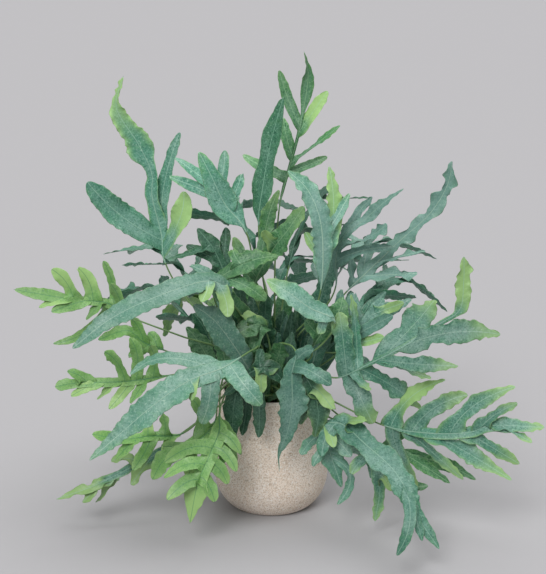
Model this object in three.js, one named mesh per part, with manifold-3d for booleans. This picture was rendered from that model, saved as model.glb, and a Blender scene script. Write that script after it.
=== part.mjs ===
// A fern with deeply cut, strap-lobed blue-green fronds, grown in a plastic nursery pot that stands
// inside a rounded stoneware pot. Millimetres, +Z up, -Y is the side the plant is looked at from.
// The origin is the middle of the flat foot that the stoneware pot stands on.
import * as THREE from "three";
import { mergeVertices } from "three/addons/utils/BufferGeometryUtils.js";
import Module from "manifold-3d";

const wasm = await Module();
wasm.setup();

// Stoneware pot
const potHeight = 153;
const potFootRadius = 48;
const potBellyRadius = 71.5; // the widest circle
const potBellyHeight = 43;
const potRimRadius = 64;
const potWall = 5.5;
const potFloor = 7; // thickness of the bottom
const potLip = 1.5; // height of the rounded rim
const potSides = 24;

// Nursery pot of thin dark plastic, standing on the stoneware pot's floor
const innerPotHeight = 141;
const innerPotFootRadius = 43;
const innerPotTopRadius = 55;
const innerPotWall = 1.4;
const innerPotLip = 2; // how far its rim stands out
const innerPotLipHeight = 6;
const innerPotSides = 24;

// Soil, and the furry creeping rootstock that lies on it
const soilTop = 134;
const soilSides = innerPotSides;
const soilShoulder = 6; // the soil sinks towards the pot's wall over this width
const fit = 0.3; // clearance between pieces that touch
const fingerCount = 6; // creeping arms of the rootstock
const fingerReach = 49;
const fingerRadius = 4.6;
const fingerSides = 5;

// Places where the stalks stand in the soil, on both sides of each arm
const firstPlace = 20.5; // distance from the middle
const placeStep = 6.4;
const placesPerSide = 5;
const placeAside = fingerRadius + 3.1;
const placesTried = 14;
const turnCost = 22; // millimetres of distance that weigh as much as a radian of turn
const steepest = 4; // rise over run of the stalks that stand nearest the middle
const rootDepth = 16;
const holeRadius = 2.9;
const holeSides = 4;

// Stalks and blades
const stalkFoot = 1.7; // half the stalk's thickness where it leaves the soil
const stalkTop = 1.15; // and where the blade begins
const uprightHeight = 7; // the stalk stands straight up to here
const branchHeight = 2; // where the stalks of a tuft part, above the soil
const bladeHalfThickness = 0.75;
const rootThickness = 0.6; // half the thickness of a lobe where it leaves the midrib
const ripple = 0.26; // how much a lobe narrows between the crests of its margin
const lift = 0.17; // how far the margin waves up and down, in half widths
const fold = 0.12; // how far both margins stand above the midrib, in half widths
const tiltMost = 0.45; // radians that single lobes turn out of the frond's plane
const waveLength = 25; // from a crest of the margin to the next hollow
const opening = 0.25; // share of a blade over which it widens from its root
const lastSection = 0.92; // where the last section stands before the tip
const endBlunt = 5; // the higher, the later an end lobe closes
const sideBlunt = 8; // and a side lobe
const sideways = 0.3; // how far a frond's upper face looks outwards
const webShare = 0.34; // half the web along the midrib, in widths of the end lobe
const spread = 0.16; // how far lobes stand before and behind the midrib, in lengths

// Fronds that are placed by rule. The blade begins at these shares of the tip's reach and of its
// height over the soil, and this much higher. Short fronds hide the stalks.
const shortReach = 140;
const shortStart = [0.62, 0.25, 0];
const longStart = [0.42, 0.45, 45];

// Fronds are laid out one after another. What would cross an earlier one is bent clear by these
// steps: a stalk bows sideways, a whole frond or a single lobe moves towards the viewer or away.
const bowStep = 5;
const bowsMost = 5;
const riseStep = 7;
const risesMost = 5;
const bendStep = 9;
const bendsMost = 7;
const towards = new THREE.Vector3(0, -0.966, 0.259);

const tones = {
  blue: "#6f9a8c",
  pale: "#8fb3a8",
  green: "#5f8f6a",
  dark: "#35644f",
  young: "#84a95a",
};

const vector = (p) => new THREE.Vector3(...p);
const smooth = (x) => THREE.MathUtils.smoothstep(x, 0, 1);
const mix = THREE.MathUtils.lerp;

// One frond: its name and tone, the width of its end lobe and where along the blade that lobe
// begins, the stalk's points above the soil, the midrib's points, and its side lobes, each with its
// place along the midrib, its width and its tip, or a point on the way and its tip.
function frond(name, tone, endWidth, endStart, stalk, midrib, lobes) {
  const [x, y] = midrib[0];
  const out = sideways / Math.hypot(x, y);
  const face = [x * out, y * out - 0.55, 0.62];
  return { name, tone, endWidth, endStart, stalk, midrib, lobes, face, depth: rootDepth };
}

const fronds = [
  frond("upper_left", "blue", 35, 0.1,
    [[-50, 0, 205], [-105, 10, 265]],
    [[-130, 10, 310], [-135, 20, 345], [-145, 20, 390], [-145, 20, 420], [-160, 20, 455],
      [-185, 15, 500], [-175, 5, 540]],
    [[0.13, 40, [-180, 0, 370], [-220, -10, 415]], [0.17, 21, [-130, 30, 405], [-110, 40, 465]],
      [0.21, 16, [-150, 35, 375]], [0.07, 30, [-110, -10, 370], [-105, -15, 405]]]),
  frond("upper_mid", "blue", 35, 0.05,
    [[-10, -10, 215], [-20, -10, 300]],
    [[-30, -15, 355], [-55, -20, 390], [-70, -30, 425], [-85, -30, 455]],
    [[0.50, 20, [-115, -15, 445]], [0.41, 17, [-120, -30, 425]], [0.49, 17, [-55, -10, 455]],
      [0.30, 17, [-35, -5, 425]]]),
  frond("dark_tall", "dark", 35, 0,
    [[0, 0, 215], [-10, 0, 295]],
    [[-15, 0, 360], [-10, 0, 405], [0, 5, 460], [15, 5, 515]],
    []),
  frond("top", "green", 20, 0.65,
    [[5, 10, 215], [5, 30, 305]],
    [[10, 40, 370], [15, 45, 395], [25, 50, 430], [35, 50, 470], [45, 50, 530], [40, 40, 565]],
    [[0.61, 17, [10, 60, 540]], [0.58, 20, [70, 40, 520]], [0.43, 18, [15, 70, 480]],
      [0.38, 21, [85, 40, 475]], [0.32, 16, [70, 55, 435]], [0.29, 18, [-35, 65, 435]]]),
  frond("centre_right_tall", "pale", 32, 0,
    [[15, -10, 205], [45, -30, 250]],
    [[60, -40, 290], [60, -50, 365], [45, -50, 410], [20, -45, 435]],
    [[0.21, 30, [75, -20, 375], [70, -10, 435]], [0.28, 16, [95, -5, 400]], [0.17, 17, [40, -35, 360]]]),
  frond("right_twist", "blue", 16, 0.4,
    [[25, 0, 205], [65, 10, 250]],
    [[80, 10, 280], [80, 15, 315], [90, 10, 345], [115, 10, 365], [135, 5, 385], [160, 0, 405]],
    [[0.44, 15, [125, 25, 390]], [0.29, 27, [115, -10, 345], [140, -15, 365]],
      [0.17, 17, [110, 10, 325], [150, 10, 330]]]),
  frond("right_wavy", "pale", 24, 0.3,
    [[30, 10, 200], [65, 20, 235]],
    [[95, 25, 270], [115, 25, 290], [140, 25, 315], [160, 25, 335], [195, 20, 370],
      [215, 20, 405], [220, 20, 435]],
    [[0.27, 17, [190, 10, 325]], [0.16, 21, [180, 15, 295]], [0.07, 18, [100, 40, 320]],
      [0.17, 18, [130, 45, 340]]]),
  frond("right_mid", "blue", 22, 0.7,
    [[25, -40, 190], [55, -70, 195]],
    [[80, -90, 195], [115, -100, 215], [155, -110, 240], [195, -105, 265], [220, -95, 280],
      [225, -85, 310], [225, -80, 340]],
    [[0.05, 31, [85, -90, 240], [80, -80, 275]], [0.11, 18, [100, -75, 250], [95, -60, 290]],
      [0.23, 40, [170, -85, 260], [195, -70, 285]], [0.34, 31, [210, -120, 260], [265, -130, 260]],
      [0.21, 21, [170, -130, 225], [215, -135, 225]], [0.23, 18, [185, -140, 210]],
      [0.07, 33, [105, -120, 180], [120, -130, 150]], [0.08, 18, [115, -135, 195]],
      [0.12, 28, [145, -95, 185], [180, -90, 155]]]),
  frond("right_inner", "blue", 20, 0.7,
    [[20, -20, 195], [55, -40, 210]],
    [[90, -50, 215], [105, -55, 240], [120, -50, 260], [135, -45, 280]],
    [[0.30, 21, [145, -65, 265]], [0.41, 20, [100, -35, 285]], [0.14, 20, [135, -75, 240]],
      [0.67, 18, [160, -45, 275]], [0.04, 17, [85, -40, 290]]]),
  frond("right_fan", "blue", 26, 0.3,
    [[35, -20, 170], [65, -35, 195]],
    [[85, -45, 215], [100, -40, 235], [130, -35, 255], [170, -30, 275]],
    [[0.2, 17, [145, -60, 260]], [0.35, 18, [100, -20, 280]], [0.5, 17, [140, -15, 280]],
      [0.15, 18, [125, -60, 195]], [0.12, 17, [80, -30, 250]]]),
  frond("right_low", "blue", 21, 0.75,
    [[20, -50, 180], [75, -90, 165]],
    [[135, -105, 140], [185, -130, 140], [230, -140, 145], [255, -145, 155], [315, -150, 155]],
    [[0.03, 22, [205, -110, 200]], [0.15, 26, [230, -125, 185]], [0.37, 22, [280, -135, 200]],
      [0.63, 17, [285, -150, 185]], [0.04, 21, [175, -120, 65]], [0.12, 22, [225, -135, 85]],
      [0.26, 26, [280, -150, 90]], [0.49, 20, [290, -155, 110]], [0.80, 17, [300, -160, 140]]]),
  frond("right_low_back", "green", 18, 0.5,
    [[25, -40, 180], [75, -70, 150]],
    [[120, -80, 110], [165, -90, 95], [215, -100, 65]],
    [[0.21, 20, [155, -90, 65], [190, -100, 60]], [0.38, 18, [205, -85, 85], [245, -100, 70]],
      [0.09, 20, [130, -85, 75]], [0.21, 20, [170, -80, 125]]]),
  frond("right_bottom", "blue", 35, 0,
    [[15, -50, 190], [40, -85, 165]],
    [[60, -100, 145], [85, -115, 145], [110, -140, 130], [135, -165, 115], [150, -185, 100],
      [165, -205, 70], [190, -220, 35]],
    [[0.71, 18, [155, -230, 70], [140, -240, 35]], [0.78, 16, [170, -220, 45]],
      [0.07, 18, [75, -125, 120]], [0.12, 22, [60, -130, 110]], [0.17, 22, [110, -130, 155]]]),
  frond("right_hanging", "blue", 22, 0,
    [[25, -45, 175], [70, -85, 150]],
    [[105, -100, 130], [125, -110, 95], [130, -110, 60], [125, -110, 20]],
    [[0.25, 20, [95, -120, 85]], [0.48, 18, [145, -115, 60]]]),
  frond("right_rim", "pale", 28, 0,
    [[10, -55, 175], [40, -85, 160]],
    [[60, -90, 135], [70, -100, 105], [85, -100, 60]],
    [[0.20, 20, [35, -110, 105]], [0.45, 17, [50, -110, 90]], [0.59, 16, [95, -105, 75], [80, -110, 40]],
      [0.42, 18, [110, -90, 100], [120, -95, 70]], [0.24, 26, [95, -115, 105]]]),
  frond("front_pot", "blue", 35, 0,
    [[5, -45, 215], [20, -70, 230]],
    [[30, -90, 225], [25, -105, 205], [25, -110, 170], [20, -110, 135], [10, -105, 105], [10, -100, 80]],
    [[0.14, 25, [45, -125, 215], [70, -130, 200]], [0.09, 20, [50, -115, 235]]]),
  frond("front_left_big", "pale", 35, 0.2,
    [[-10, -60, 220], [-20, -90, 230]],
    [[-35, -120, 230], [-55, -145, 225], [-95, -165, 215], [-135, -180, 190], [-170, -185, 160],
      [-205, -190, 130]],
    [[0.24, 21, [-120, -140, 235], [-160, -155, 220]], [0.28, 28, [-70, -170, 195], [-80, -170, 165]],
      [0.38, 17, [-90, -175, 195]], [0.14, 30, [-30, -160, 210], [-10, -160, 185]]]),
  frond("left_pale", "pale", 32, 0.25,
    [[-20, -20, 205], [-30, -50, 250]],
    [[-45, -70, 280], [-55, -85, 305], [-80, -100, 315], [-140, -125, 300], [-185, -140, 280],
      [-225, -150, 250]],
    [[0.28, 23, [-50, -110, 275]], [0.36, 20, [-80, -120, 295]], [0.26, 17, [-95, -80, 330]]]),
  frond("left_young", "young", 18, 0.7,
    [[-40, -10, 195], [-110, -35, 230]],
    [[-165, -45, 255], [-195, -50, 275], [-225, -55, 280], [-250, -60, 285], [-305, -60, 295]],
    [[0.61, 22, [-260, -60, 320]], [0.39, 21, [-230, -50, 320]], [0.19, 17, [-200, -40, 325]],
      [0.11, 17, [-190, -70, 305]], [0.73, 21, [-275, -70, 275]], [0.46, 20, [-260, -70, 270]],
      [0.32, 21, [-220, -70, 260]], [0.23, 15, [-225, -35, 235], [-265, -35, 220]]]),
  frond("left_second", "young", 19, 0.6,
    [[-35, -10, 185], [-85, -20, 190]],
    [[-130, -30, 210], [-155, -30, 220], [-175, -30, 235], [-210, -35, 225]],
    [[0.10, 20, [-150, -20, 230]], [0.34, 18, [-170, -25, 250]], [0.24, 18, [-175, -40, 205]]]),
  frond("left_mid", "young", 19, 0.75,
    [[-35, -25, 190], [-75, -40, 190]],
    [[-120, -50, 185], [-175, -60, 180], [-230, -65, 180], [-260, -65, 175]],
    [[0.61, 17, [-245, -65, 195]], [0.34, 20, [-200, -65, 220]], [0.26, 20, [-170, -60, 235]],
      [0.14, 20, [-145, -60, 225]], [0.53, 17, [-240, -70, 165]], [0.41, 18, [-210, -70, 160]],
      [0.30, 18, [-195, -75, 150]], [0.20, 18, [-170, -70, 155]]]),
  frond("left_low", "young", 18, 0.7,
    [[-30, -50, 185], [-70, -80, 155]],
    [[-105, -90, 125], [-145, -100, 125], [-175, -110, 125], [-210, -120, 135]],
    [[0.18, 18, [-130, -90, 150]], [0.35, 17, [-150, -100, 145]], [0.53, 18, [-185, -115, 100]],
      [0.31, 20, [-165, -110, 85]], [0.12, 20, [-130, -110, 105]]]),
  frond("left_bottom", "blue", 16, 0.6,
    [[-25, -50, 175], [-70, -65, 145]],
    [[-115, -65, 110], [-140, -70, 90], [-170, -75, 75], [-215, -85, 55], [-260, -90, 40]],
    [[0.65, 15, [-230, -90, 35]], [0.57, 15, [-215, -80, 30]], [0.30, 17, [-170, -80, 55]],
      [0.42, 16, [-195, -65, 80]], [0.14, 18, [-135, -85, 70]]]),
  frond("front_left_bright", "young", 29, 0.7,
    [[-30, -75, 205], [-55, -120, 205]],
    [[-60, -130, 165], [-60, -135, 145], [-70, -140, 120], [-85, -150, 85], [-95, -150, 35]],
    [[0.58, 22, [-50, -155, 85]], [0.70, 21, [-65, -160, 65]], [0.72, 21, [-120, -160, 70]],
      [0.61, 21, [-125, -160, 95]], [0.46, 22, [-125, -150, 110]], [0.28, 18, [-35, -145, 120]],
      [0.44, 17, [-40, -150, 100]]]),
  frond("rim_dark", "dark", 26, 0.1,
    [[-10, -50, 190], [-15, -75, 195]],
    [[-25, -90, 190], [-40, -100, 180], [-45, -100, 150], [-45, -95, 115]],
    [[0.19, 20, [-35, -90, 120]], [0.04, 23, [-15, -95, 170], [-15, -90, 120]],
      [0.14, 18, [-55, -110, 180]]]),
  frond("left_third", "young", 27, 0.6,
    [[-35, -60, 175], [-50, -85, 170]],
    [[-65, -110, 150], [-75, -115, 135], [-95, -120, 120], [-125, -125, 105], [-140, -125, 80]],
    [[0.3, 20, [-95, -105, 175]], [0.25, 18, [-65, -130, 120]], [0.6, 19, [-130, -110, 115]],
      [0.5, 20, [-100, -130, 75]]]),
  frond("front_left_small", "young", 14, 0.3,
    [[-45, -75, 180], [-55, -100, 175]],
    [[-60, -120, 160], [-55, -120, 140], [-55, -125, 115], [-60, -125, 95]],
    [[0.25, 14, [-35, -110, 105]], [0.5, 12, [-40, -110, 90]], [0.2, 14, [-70, -120, 130]]]),
  frond("centre_left_big", "pale", 37, 0,
    [[-5, -60, 190], [-10, -85, 185]],
    [[-25, -100, 205], [-40, -110, 235], [-65, -110, 270], [-90, -110, 290]],
    []),
  frond("centre_blade", "green", 27, 0.3,
    [[-20, -5, 195], [-55, -35, 245]],
    [[-70, -50, 290], [-65, -60, 305], [-40, -70, 325], [-15, -70, 335], [10, -75, 340]],
    [[0.33, 27, [-30, -80, 305], [-5, -75, 285]], [0.15, 30, [-40, -90, 280], [-25, -95, 255]],
      [0.55, 18, [-45, -60, 345]]]),
  frond("centre_light_tip", "pale", 32, 0,
    [[25, -50, 200], [60, -80, 230]],
    [[75, -95, 265], [45, -105, 285], [20, -110, 305], [-5, -110, 320]],
    [[0.18, 18, [55, -110, 255]]]),
  frond("top_centre", "green", 30, 0.1,
    [[-5, 0, 200], [-15, -20, 250]],
    [[-20, -30, 290], [0, -40, 335], [20, -50, 365], [40, -50, 395]],
    [[0.17, 21, [-5, -15, 365], [10, -10, 405]], [0.09, 18, [-45, -20, 350]],
      [0.43, 17, [-10, -55, 365]]]),
  frond("upper_left_dark", "dark", 22, 0.3,
    [[-15, 5, 195], [-40, 5, 250]],
    [[-55, 0, 295], [-70, 0, 330], [-90, 5, 355]],
    [[0.59, 16, [-125, -10, 320]], [0.28, 18, [-105, 20, 330]], [0.21, 18, [-55, 10, 355]]]),
  frond("rim_right", "dark", 29, 0,
    [[15, -45, 180], [28, -62, 195]],
    [[40, -74, 195], [50, -84, 178], [56, -88, 150], [52, -90, 122]],
    [[0.35, 21, [35, -94, 138]], [0.25, 22, [74, -98, 158]]]),
  frond("centre_low", "dark", 22, 0,
    [[-10, -50, 160], [-25, -60, 170]],
    [[-30, -70, 190], [-10, -80, 205], [5, -80, 200], [20, -80, 180]],
    [[0.4, 20, [-10, -85, 175]], [0.3, 16, [-10, -70, 225]]]),
  frond("centre_fold", "green", 28, 0,
    [[0, -20, 170], [0, -50, 210]],
    [[-5, -60, 240], [-15, -70, 255], [-30, -75, 250], [-45, -80, 240]],
    [[0.3, 22, [-25, -75, 220]], [0.35, 18, [-35, -60, 265]]]),
  frond("centre_right_low", "green", 28, 0.1,
    [[15, -45, 185], [35, -70, 210]],
    [[50, -80, 230], [65, -85, 255], [80, -85, 275], [85, -75, 290]],
    [[0.19, 22, [40, -95, 270]], [0.47, 20, [105, -90, 265]]]),
];

// Fronds behind and inside, by rule: the compass angle they lean to (90 is away from the viewer),
// the reach and height of the tip, how high the midrib arches over the straight line, the pairs of
// side lobes and the length of the longest.
function leaning(name, tone, angle, reach, tipHeight, arch, pairs, longest) {
  const turn = THREE.MathUtils.degToRad(angle);
  const out = new THREE.Vector3(Math.cos(turn), Math.sin(turn), 0);
  const side = new THREE.Vector3(-out.y, out.x, 0);
  const short = reach < shortReach;
  const [outward, upward, higher] = short ? shortStart : longStart;
  const baseReach = outward * reach;
  const baseHeight = mix(soilTop, tipHeight, upward) + higher;
  const at = (share) => {
    const r = baseReach + (reach - baseReach) * share;
    const z = baseHeight + (tipHeight - baseHeight) * share + 4 * arch * share * (1 - share);
    const sway = 0.06 * reach * Math.sin(3 * share + angle);
    return out.clone().multiplyScalar(r).addScaledVector(side, sway).setZ(z);
  };
  const midrib = [0, 0.25, 0.5, 0.75, 1].map((share) => at(share).toArray());
  const bottom = at(0);
  const stalk = [[0.4, 0.45], [0.75, 0.8]].map(([near, high]) => [
    bottom.x * near, bottom.y * near, soilTop + (bottom.z - soilTop) * high + 4,
  ]);
  const lobes = [];
  for (let i = 0; i < 2 * pairs; i++) {
    const share = 0.06 + (0.6 * i) / (2 * pairs - 1);
    const hand = i % 2 ? -1 : 1;
    const ahead = at(share + 0.05).sub(at(share)).normalize();
    const length = longest * (0.72 + 0.28 * Math.sin(2.5 * share + 0.6)) * (i % 3 ? 1 : 0.85);
    const tip = at(share).addScaledVector(side, hand * 0.86 * length).addScaledVector(ahead, 0.5 * length);
    tip.z -= (0.1 + 0.05 * (i % 4)) * length;
    lobes.push([share, 19 + 4 * (i % 3), tip.toArray()]);
  }
  const plan = frond(name, tone, 27, pairs ? 0.66 : 0, stalk, midrib, lobes);
  return short ? plan : { ...plan, face: out.clone().multiplyScalar(0.55).setZ(0.83).toArray() };
}

// A tuft of undivided leaves, each with its turn from the tuft's angle, its reach and its height.
// All but the first branch off just above the soil.
function tuft(name, tone, angle, leaves) {
  return leaves.map(([turn, reach, height], i) => {
    const plan = leaning(name, tone, angle + turn, reach, height, 10, 0, 0);
    return i === 0 ? plan : { ...plan, depth: -branchHeight };
  });
}

fronds.push(
  ...tuft("tuft_front_left", "green", 225, [[0, 105, 270], [-36, 105, 235]]),
  ...tuft("tuft_front_right", "blue", 318, [[0, 105, 280], [30, 80, 215]]),
  ...tuft("tuft_front", "dark", 262, [[0, 62, 290], [-38, 58, 310]]),
  ...tuft("tuft_back_left", "dark", 140, [[0, 100, 310], [40, 95, 250]]),
  ...tuft("tuft_back_right", "blue", 40, [[0, 100, 320], [-40, 95, 250]]),
  ...tuft("tuft_back", "green", 75, [[0, 90, 260], [36, 85, 300]]),
  leaning("inner_right", "dark", 335, 95, 265, 8, 1, 60),
  leaning("inner_front", "green", 275, 85, 235, 8, 1, 50),
  leaning("back_right_low", "blue", 18, 235, 235, 45, 2, 85),
  leaning("back_right", "pale", 40, 225, 300, 35, 2, 85),
  leaning("back_tall", "dark", 64, 170, 385, 15, 2, 80),
  leaning("back_middle", "blue", 84, 245, 230, 50, 3, 85),
  leaning("back_left_tall", "blue", 106, 175, 365, 20, 2, 80),
  leaning("back_left_down", "young", 125, 240, 160, 60, 2, 80),
  leaning("back_left", "pale", 145, 230, 290, 40, 3, 80),
  leaning("back_left_low", "blue", 163, 235, 230, 45, 2, 85),
);

// ---------- shapes ----------

// A strap: broad at its root, fullest in the middle, closing late to a blunt point.
const strap = (u, blunt) => (0.66 + 0.34 * Math.sin(Math.PI * u)) * Math.sqrt(1 - u ** blunt);

// A closed body through cross-sections of equally many points, ending in a point or a flat cap.
// The diagonals of neighbouring strips lie in mirrored directions, so both faces of a blade fold alike.
function sweep(sections, tip) {
  const sides = sections[0].length;
  const points = sections.flat();
  const faces = [];
  const corner = (ring, k) => ring * sides + (k % sides);
  for (let ring = 0; ring + 1 < sections.length; ring++) {
    for (let k = 0; k < sides; k++) {
      const [a, b] = [corner(ring, k), corner(ring, k + 1)];
      const [c, d] = [corner(ring + 1, k + 1), corner(ring + 1, k)];
      faces.push(...(k % 2 ? [a, b, d, b, c, d] : [a, b, c, a, c, d]));
    }
  }
  const last = sections.length - 1;
  for (let k = 1; k + 1 < sides; k++) faces.push(corner(0, 0), corner(0, k + 1), corner(0, k));
  if (tip) {
    points.push(tip);
    for (let k = 0; k < sides; k++) faces.push(corner(last, k), corner(last, k + 1), points.length - 1);
  } else {
    for (let k = 1; k + 1 < sides; k++) faces.push(corner(last, 0), corner(last, k), corner(last, k + 1));
  }
  return solid(points.flatMap((p) => p.toArray()), faces);
}

// A solid from a flat list of coordinates and one of corner numbers.
function solid(coordinates, faces) {
  const mesh = new wasm.Mesh({
    numProp: 3,
    vertProperties: new Float32Array(coordinates),
    triVerts: new Uint32Array(faces),
  });
  return new wasm.Manifold(mesh);
}

// A turned piece from its [radius, height] outline; the doubled points of seam and poles are joined.
function turned(profile, sides) {
  const lathe = new THREE.LatheGeometry(profile.map(([r, z]) => new THREE.Vector2(r, z)), sides);
  lathe.rotateX(Math.PI / 2);
  lathe.deleteAttribute("normal");
  lathe.deleteAttribute("uv");
  const joined = mergeVertices(lathe, 1e-3);
  const faces = [];
  for (let i = 0; i < joined.index.count; i += 3) {
    const [a, b, c] = [0, 1, 2].map((k) => joined.index.getX(i + k));
    if (a !== b && b !== c && c !== a) faces.push(a, b, c);
  }
  return solid(Array.from(joined.attributes.position.array), faces);
}

// The largest connected shell alone, so hollows that joining has sealed are filled.
function whole(body) {
  return body.decompose().reduce((most, part) => (part.volume() > most.volume() ? part : most));
}

// The four corners of a blade's lens-shaped section: margin, upper midrib, margin, lower midrib.
function lens(middle, run, face, tilt, half, thickness, wave) {
  const up = vector(face).addScaledVector(run, -vector(face).dot(run)).normalize();
  up.applyAxisAngle(run, tilt);
  const aside = new THREE.Vector3().crossVectors(up, run);
  const corner = (across, high) => middle.clone().addScaledVector(aside, across).addScaledVector(up, high);
  return [
    corner(half, half * (fold + lift * wave)), corner(0, thickness),
    corner(-half, half * (fold - lift * wave)), corner(0, -thickness),
  ];
}

// A lobe's root lies along the midrib, inside it.
function rootSection(middle, run, midribRun, face, half) {
  const up = vector(face).addScaledVector(midribRun, -vector(face).dot(midribRun)).normalize();
  const hand = Math.sign(new THREE.Vector3().crossVectors(up, run).dot(midribRun));
  const corner = (along, high) => middle.clone().addScaledVector(midribRun, along * hand)
    .addScaledVector(up, high);
  return [corner(half, 0), corner(0, rootThickness), corner(-half, 0), corner(0, -rootThickness)];
}

// Crests and hollows of the margin, one of each for every two sections.
const wavy = (section) => Math.cos(Math.PI * section);
const rippled = (wave) => 1 - ripple / 2 + (ripple / 2) * wave;

// ---------- one frond ----------

// The stalk with the midrib and the end lobe, as one swept body, from a root place in the soil.
function spineOf(plan, root, bowed, raised, extra = 0) {
  const aside = new THREE.Vector3(0, 0, 1).cross(vector(plan.midrib[0]).setZ(0)).normalize();
  const stalk = plan.stalk.map((p, i) => vector(p).addScaledVector(aside, bowed)
    .addScaledVector(towards, (raised * (i + 1)) / (plan.stalk.length + 1)));
  const midrib = plan.midrib.map((p) => vector(p).addScaledVector(towards, raised));
  const ends = [root.clone().setZ(soilTop - plan.depth), root.clone().setZ(soilTop + uprightHeight)];
  const points = [...ends, ...stalk, ...midrib];
  const route = new THREE.CatmullRomCurve3(points, false, "catmullrom", 0.5);
  const steps = points.length - 1;
  const foot = steps - (midrib.length - 1);
  const at = (share) => (foot + share * (midrib.length - 1)) / steps;
  let long = 0;
  for (let i = 1; i < midrib.length; i++) long += midrib[i].distanceTo(midrib[i - 1]);
  const waves = THREE.MathUtils.clamp(Math.round(long / waveLength), 4, 13);

  const sections = [];
  for (let i = 0; i < foot; i++) {
    const half = mix(stalkFoot, stalkTop, i / foot) + extra;
    sections.push(lens(route.getPoint(i / steps), route.getTangent(i / steps), plan.face, 0, half, half, 0));
  }
  for (let i = 0; i < waves; i++) {
    const share = (lastSection * i) / (waves - 1);
    const u = Math.max(0, (share - plan.endStart) / (1 - plan.endStart));
    const open = smooth(u / opening);
    const web = mix(stalkTop, webShare * plan.endWidth, smooth(share / opening));
    const lobe = (plan.endWidth / 2) * strap(u, endBlunt) * rippled(wavy(i));
    const half = mix(web, lobe, open) + extra;
    const thickness = mix(stalkTop, bladeHalfThickness, open) + extra;
    sections.push(lens(route.getPoint(at(share)), route.getTangent(at(share)), plan.face, 0, half, thickness,
      open * wavy(i)));
  }
  return { route, at, body: sweep(sections, route.getPoint(1)) };
}

// A side lobe from the midrib to its tip, on one bend that passes the point on the way. Without one
// it leaves the midrib at a wide angle, turns forwards and arches a little.
function lobeOf(plan, spine, index, number, bent, extra = 0) {
  const [share, width, ...way] = plan.lobes[index];
  const start = spine.route.getPoint(spine.at(share));
  const tip = vector(way.at(-1)).add(spine.shift);
  const long = start.distanceTo(tip);
  const over = way.length > 1
    ? vector(way[0]).add(spine.shift)
    : start.clone().lerp(tip, 0.5)
      .addScaledVector(spine.route.getTangent(spine.at(share)), -0.1 * long)
      .add(new THREE.Vector3(0, 0, 0.07 * long));
  const forward = bent * bendStep + spread * long * Math.sin(1.9 * index + number);
  tip.addScaledVector(towards, forward);
  over.addScaledVector(towards, 0.4 * forward);
  const pull = over.multiplyScalar(2).addScaledVector(start, -0.5).addScaledVector(tip, -0.5);
  const bend = new THREE.QuadraticBezierCurve3(start, pull, tip);
  const waves = THREE.MathUtils.clamp(Math.round(long / waveLength), 3, 8);
  const tilt = tiltMost * Math.sin(2.4 * index + 1.7 * number);
  const sections = [rootSection(start, bend.getTangent(0), spine.route.getTangent(spine.at(share)), plan.face,
    0.46 * width + extra)];
  for (let i = 1; i < waves; i++) {
    const u = (lastSection * i) / (waves - 1);
    const half = (width / 2) * strap(u, sideBlunt) * rippled(wavy(i)) + extra;
    const thickness = bladeHalfThickness * (1 - 0.35 * u) + extra;
    const open = smooth(u / opening);
    sections.push(lens(bend.getPoint(u), bend.getTangent(u), plan.face, tilt * open, half, thickness,
      open * wavy(i)));
  }
  return sweep(sections, tip);
}

// ---------- rootstock, soil and pots ----------

const fingerAngle = (number) => (2 * Math.PI * (number + 0.5)) / fingerCount;

// One arm of the rootstock, flat below, from behind the middle to its tip.
function finger(number) {
  const turn = fingerAngle(number);
  const sections = [-0.15, 0.4, 0.88].map((share, i) => {
    const r = share * fingerReach;
    const thick = fingerRadius * (1 + 0.12 * Math.cos(5 * i + number)) * (i === 2 ? 0.75 : 1);
    const low = Math.cos(Math.PI / fingerSides);
    const middle = new THREE.Vector3(r * Math.cos(turn), r * Math.sin(turn), soilTop + thick * low);
    return Array.from({ length: fingerSides }, (_, k) => {
      const around = Math.PI / 2 + (2 * Math.PI * k) / fingerSides;
      const across = thick * Math.cos(around);
      return middle.clone().add(new THREE.Vector3(-Math.sin(turn) * across, Math.cos(turn) * across,
        Math.max(-thick * low, thick * Math.sin(around))));
    });
  });
  const tip = new THREE.Vector3(fingerReach * Math.cos(turn), fingerReach * Math.sin(turn), soilTop + 2);
  return sweep(sections, tip);
}

function rootstockBody() {
  const fingers = Array.from({ length: fingerCount }, (_, number) => finger(number));
  return fingers.reduce((all, body) => all.add(body));
}

// Every place for a stalk, beside the arms of the rootstock.
const places = [];
for (let arm = 0; arm < fingerCount; arm++) {
  for (const hand of [-1, 1]) {
    for (let step = 0; step < placesPerSide; step++) {
      const spot = new THREE.Vector3(firstPlace + step * placeStep, hand * placeAside, 0);
      places.push(spot.applyAxisAngle(new THREE.Vector3(0, 0, 1), fingerAngle(arm)));
    }
  }
}

// A frond would stand on the side that it leans to, and nearer the middle the steeper it is.
function likelyPlaces(plan) {
  const [near, goal] = plan.stalk.map(vector);
  const steep = Math.min(1, (near.z - soilTop) / Math.hypot(near.x, near.y, 1) / steepest);
  const wanted = firstPlace + (placesPerSide - 1) * placeStep * (1 - steep);
  const far = (spot) => turnCost * spot.angleTo(goal.clone().setZ(0)) + Math.abs(spot.length() - wanted);
  return places.filter((spot) => !taken.has(spot)).sort((a, b) => far(a) - far(b)).slice(0, placesTried);
}

// The stoneware pot's outer radius at a height: a belly rounded in from the foot, then a wall that
// slopes in more and more towards the rim.
function potRadius(z) {
  if (z < potBellyHeight) {
    const turn = Math.acos(1 - z / potBellyHeight);
    return mix(potFootRadius, potBellyRadius, Math.sin(turn) ** 1.5);
  }
  const share = (z - potBellyHeight) / (potHeight - potLip - potBellyHeight);
  return mix(potBellyRadius, potRimRadius, share ** 1.7);
}

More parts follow.
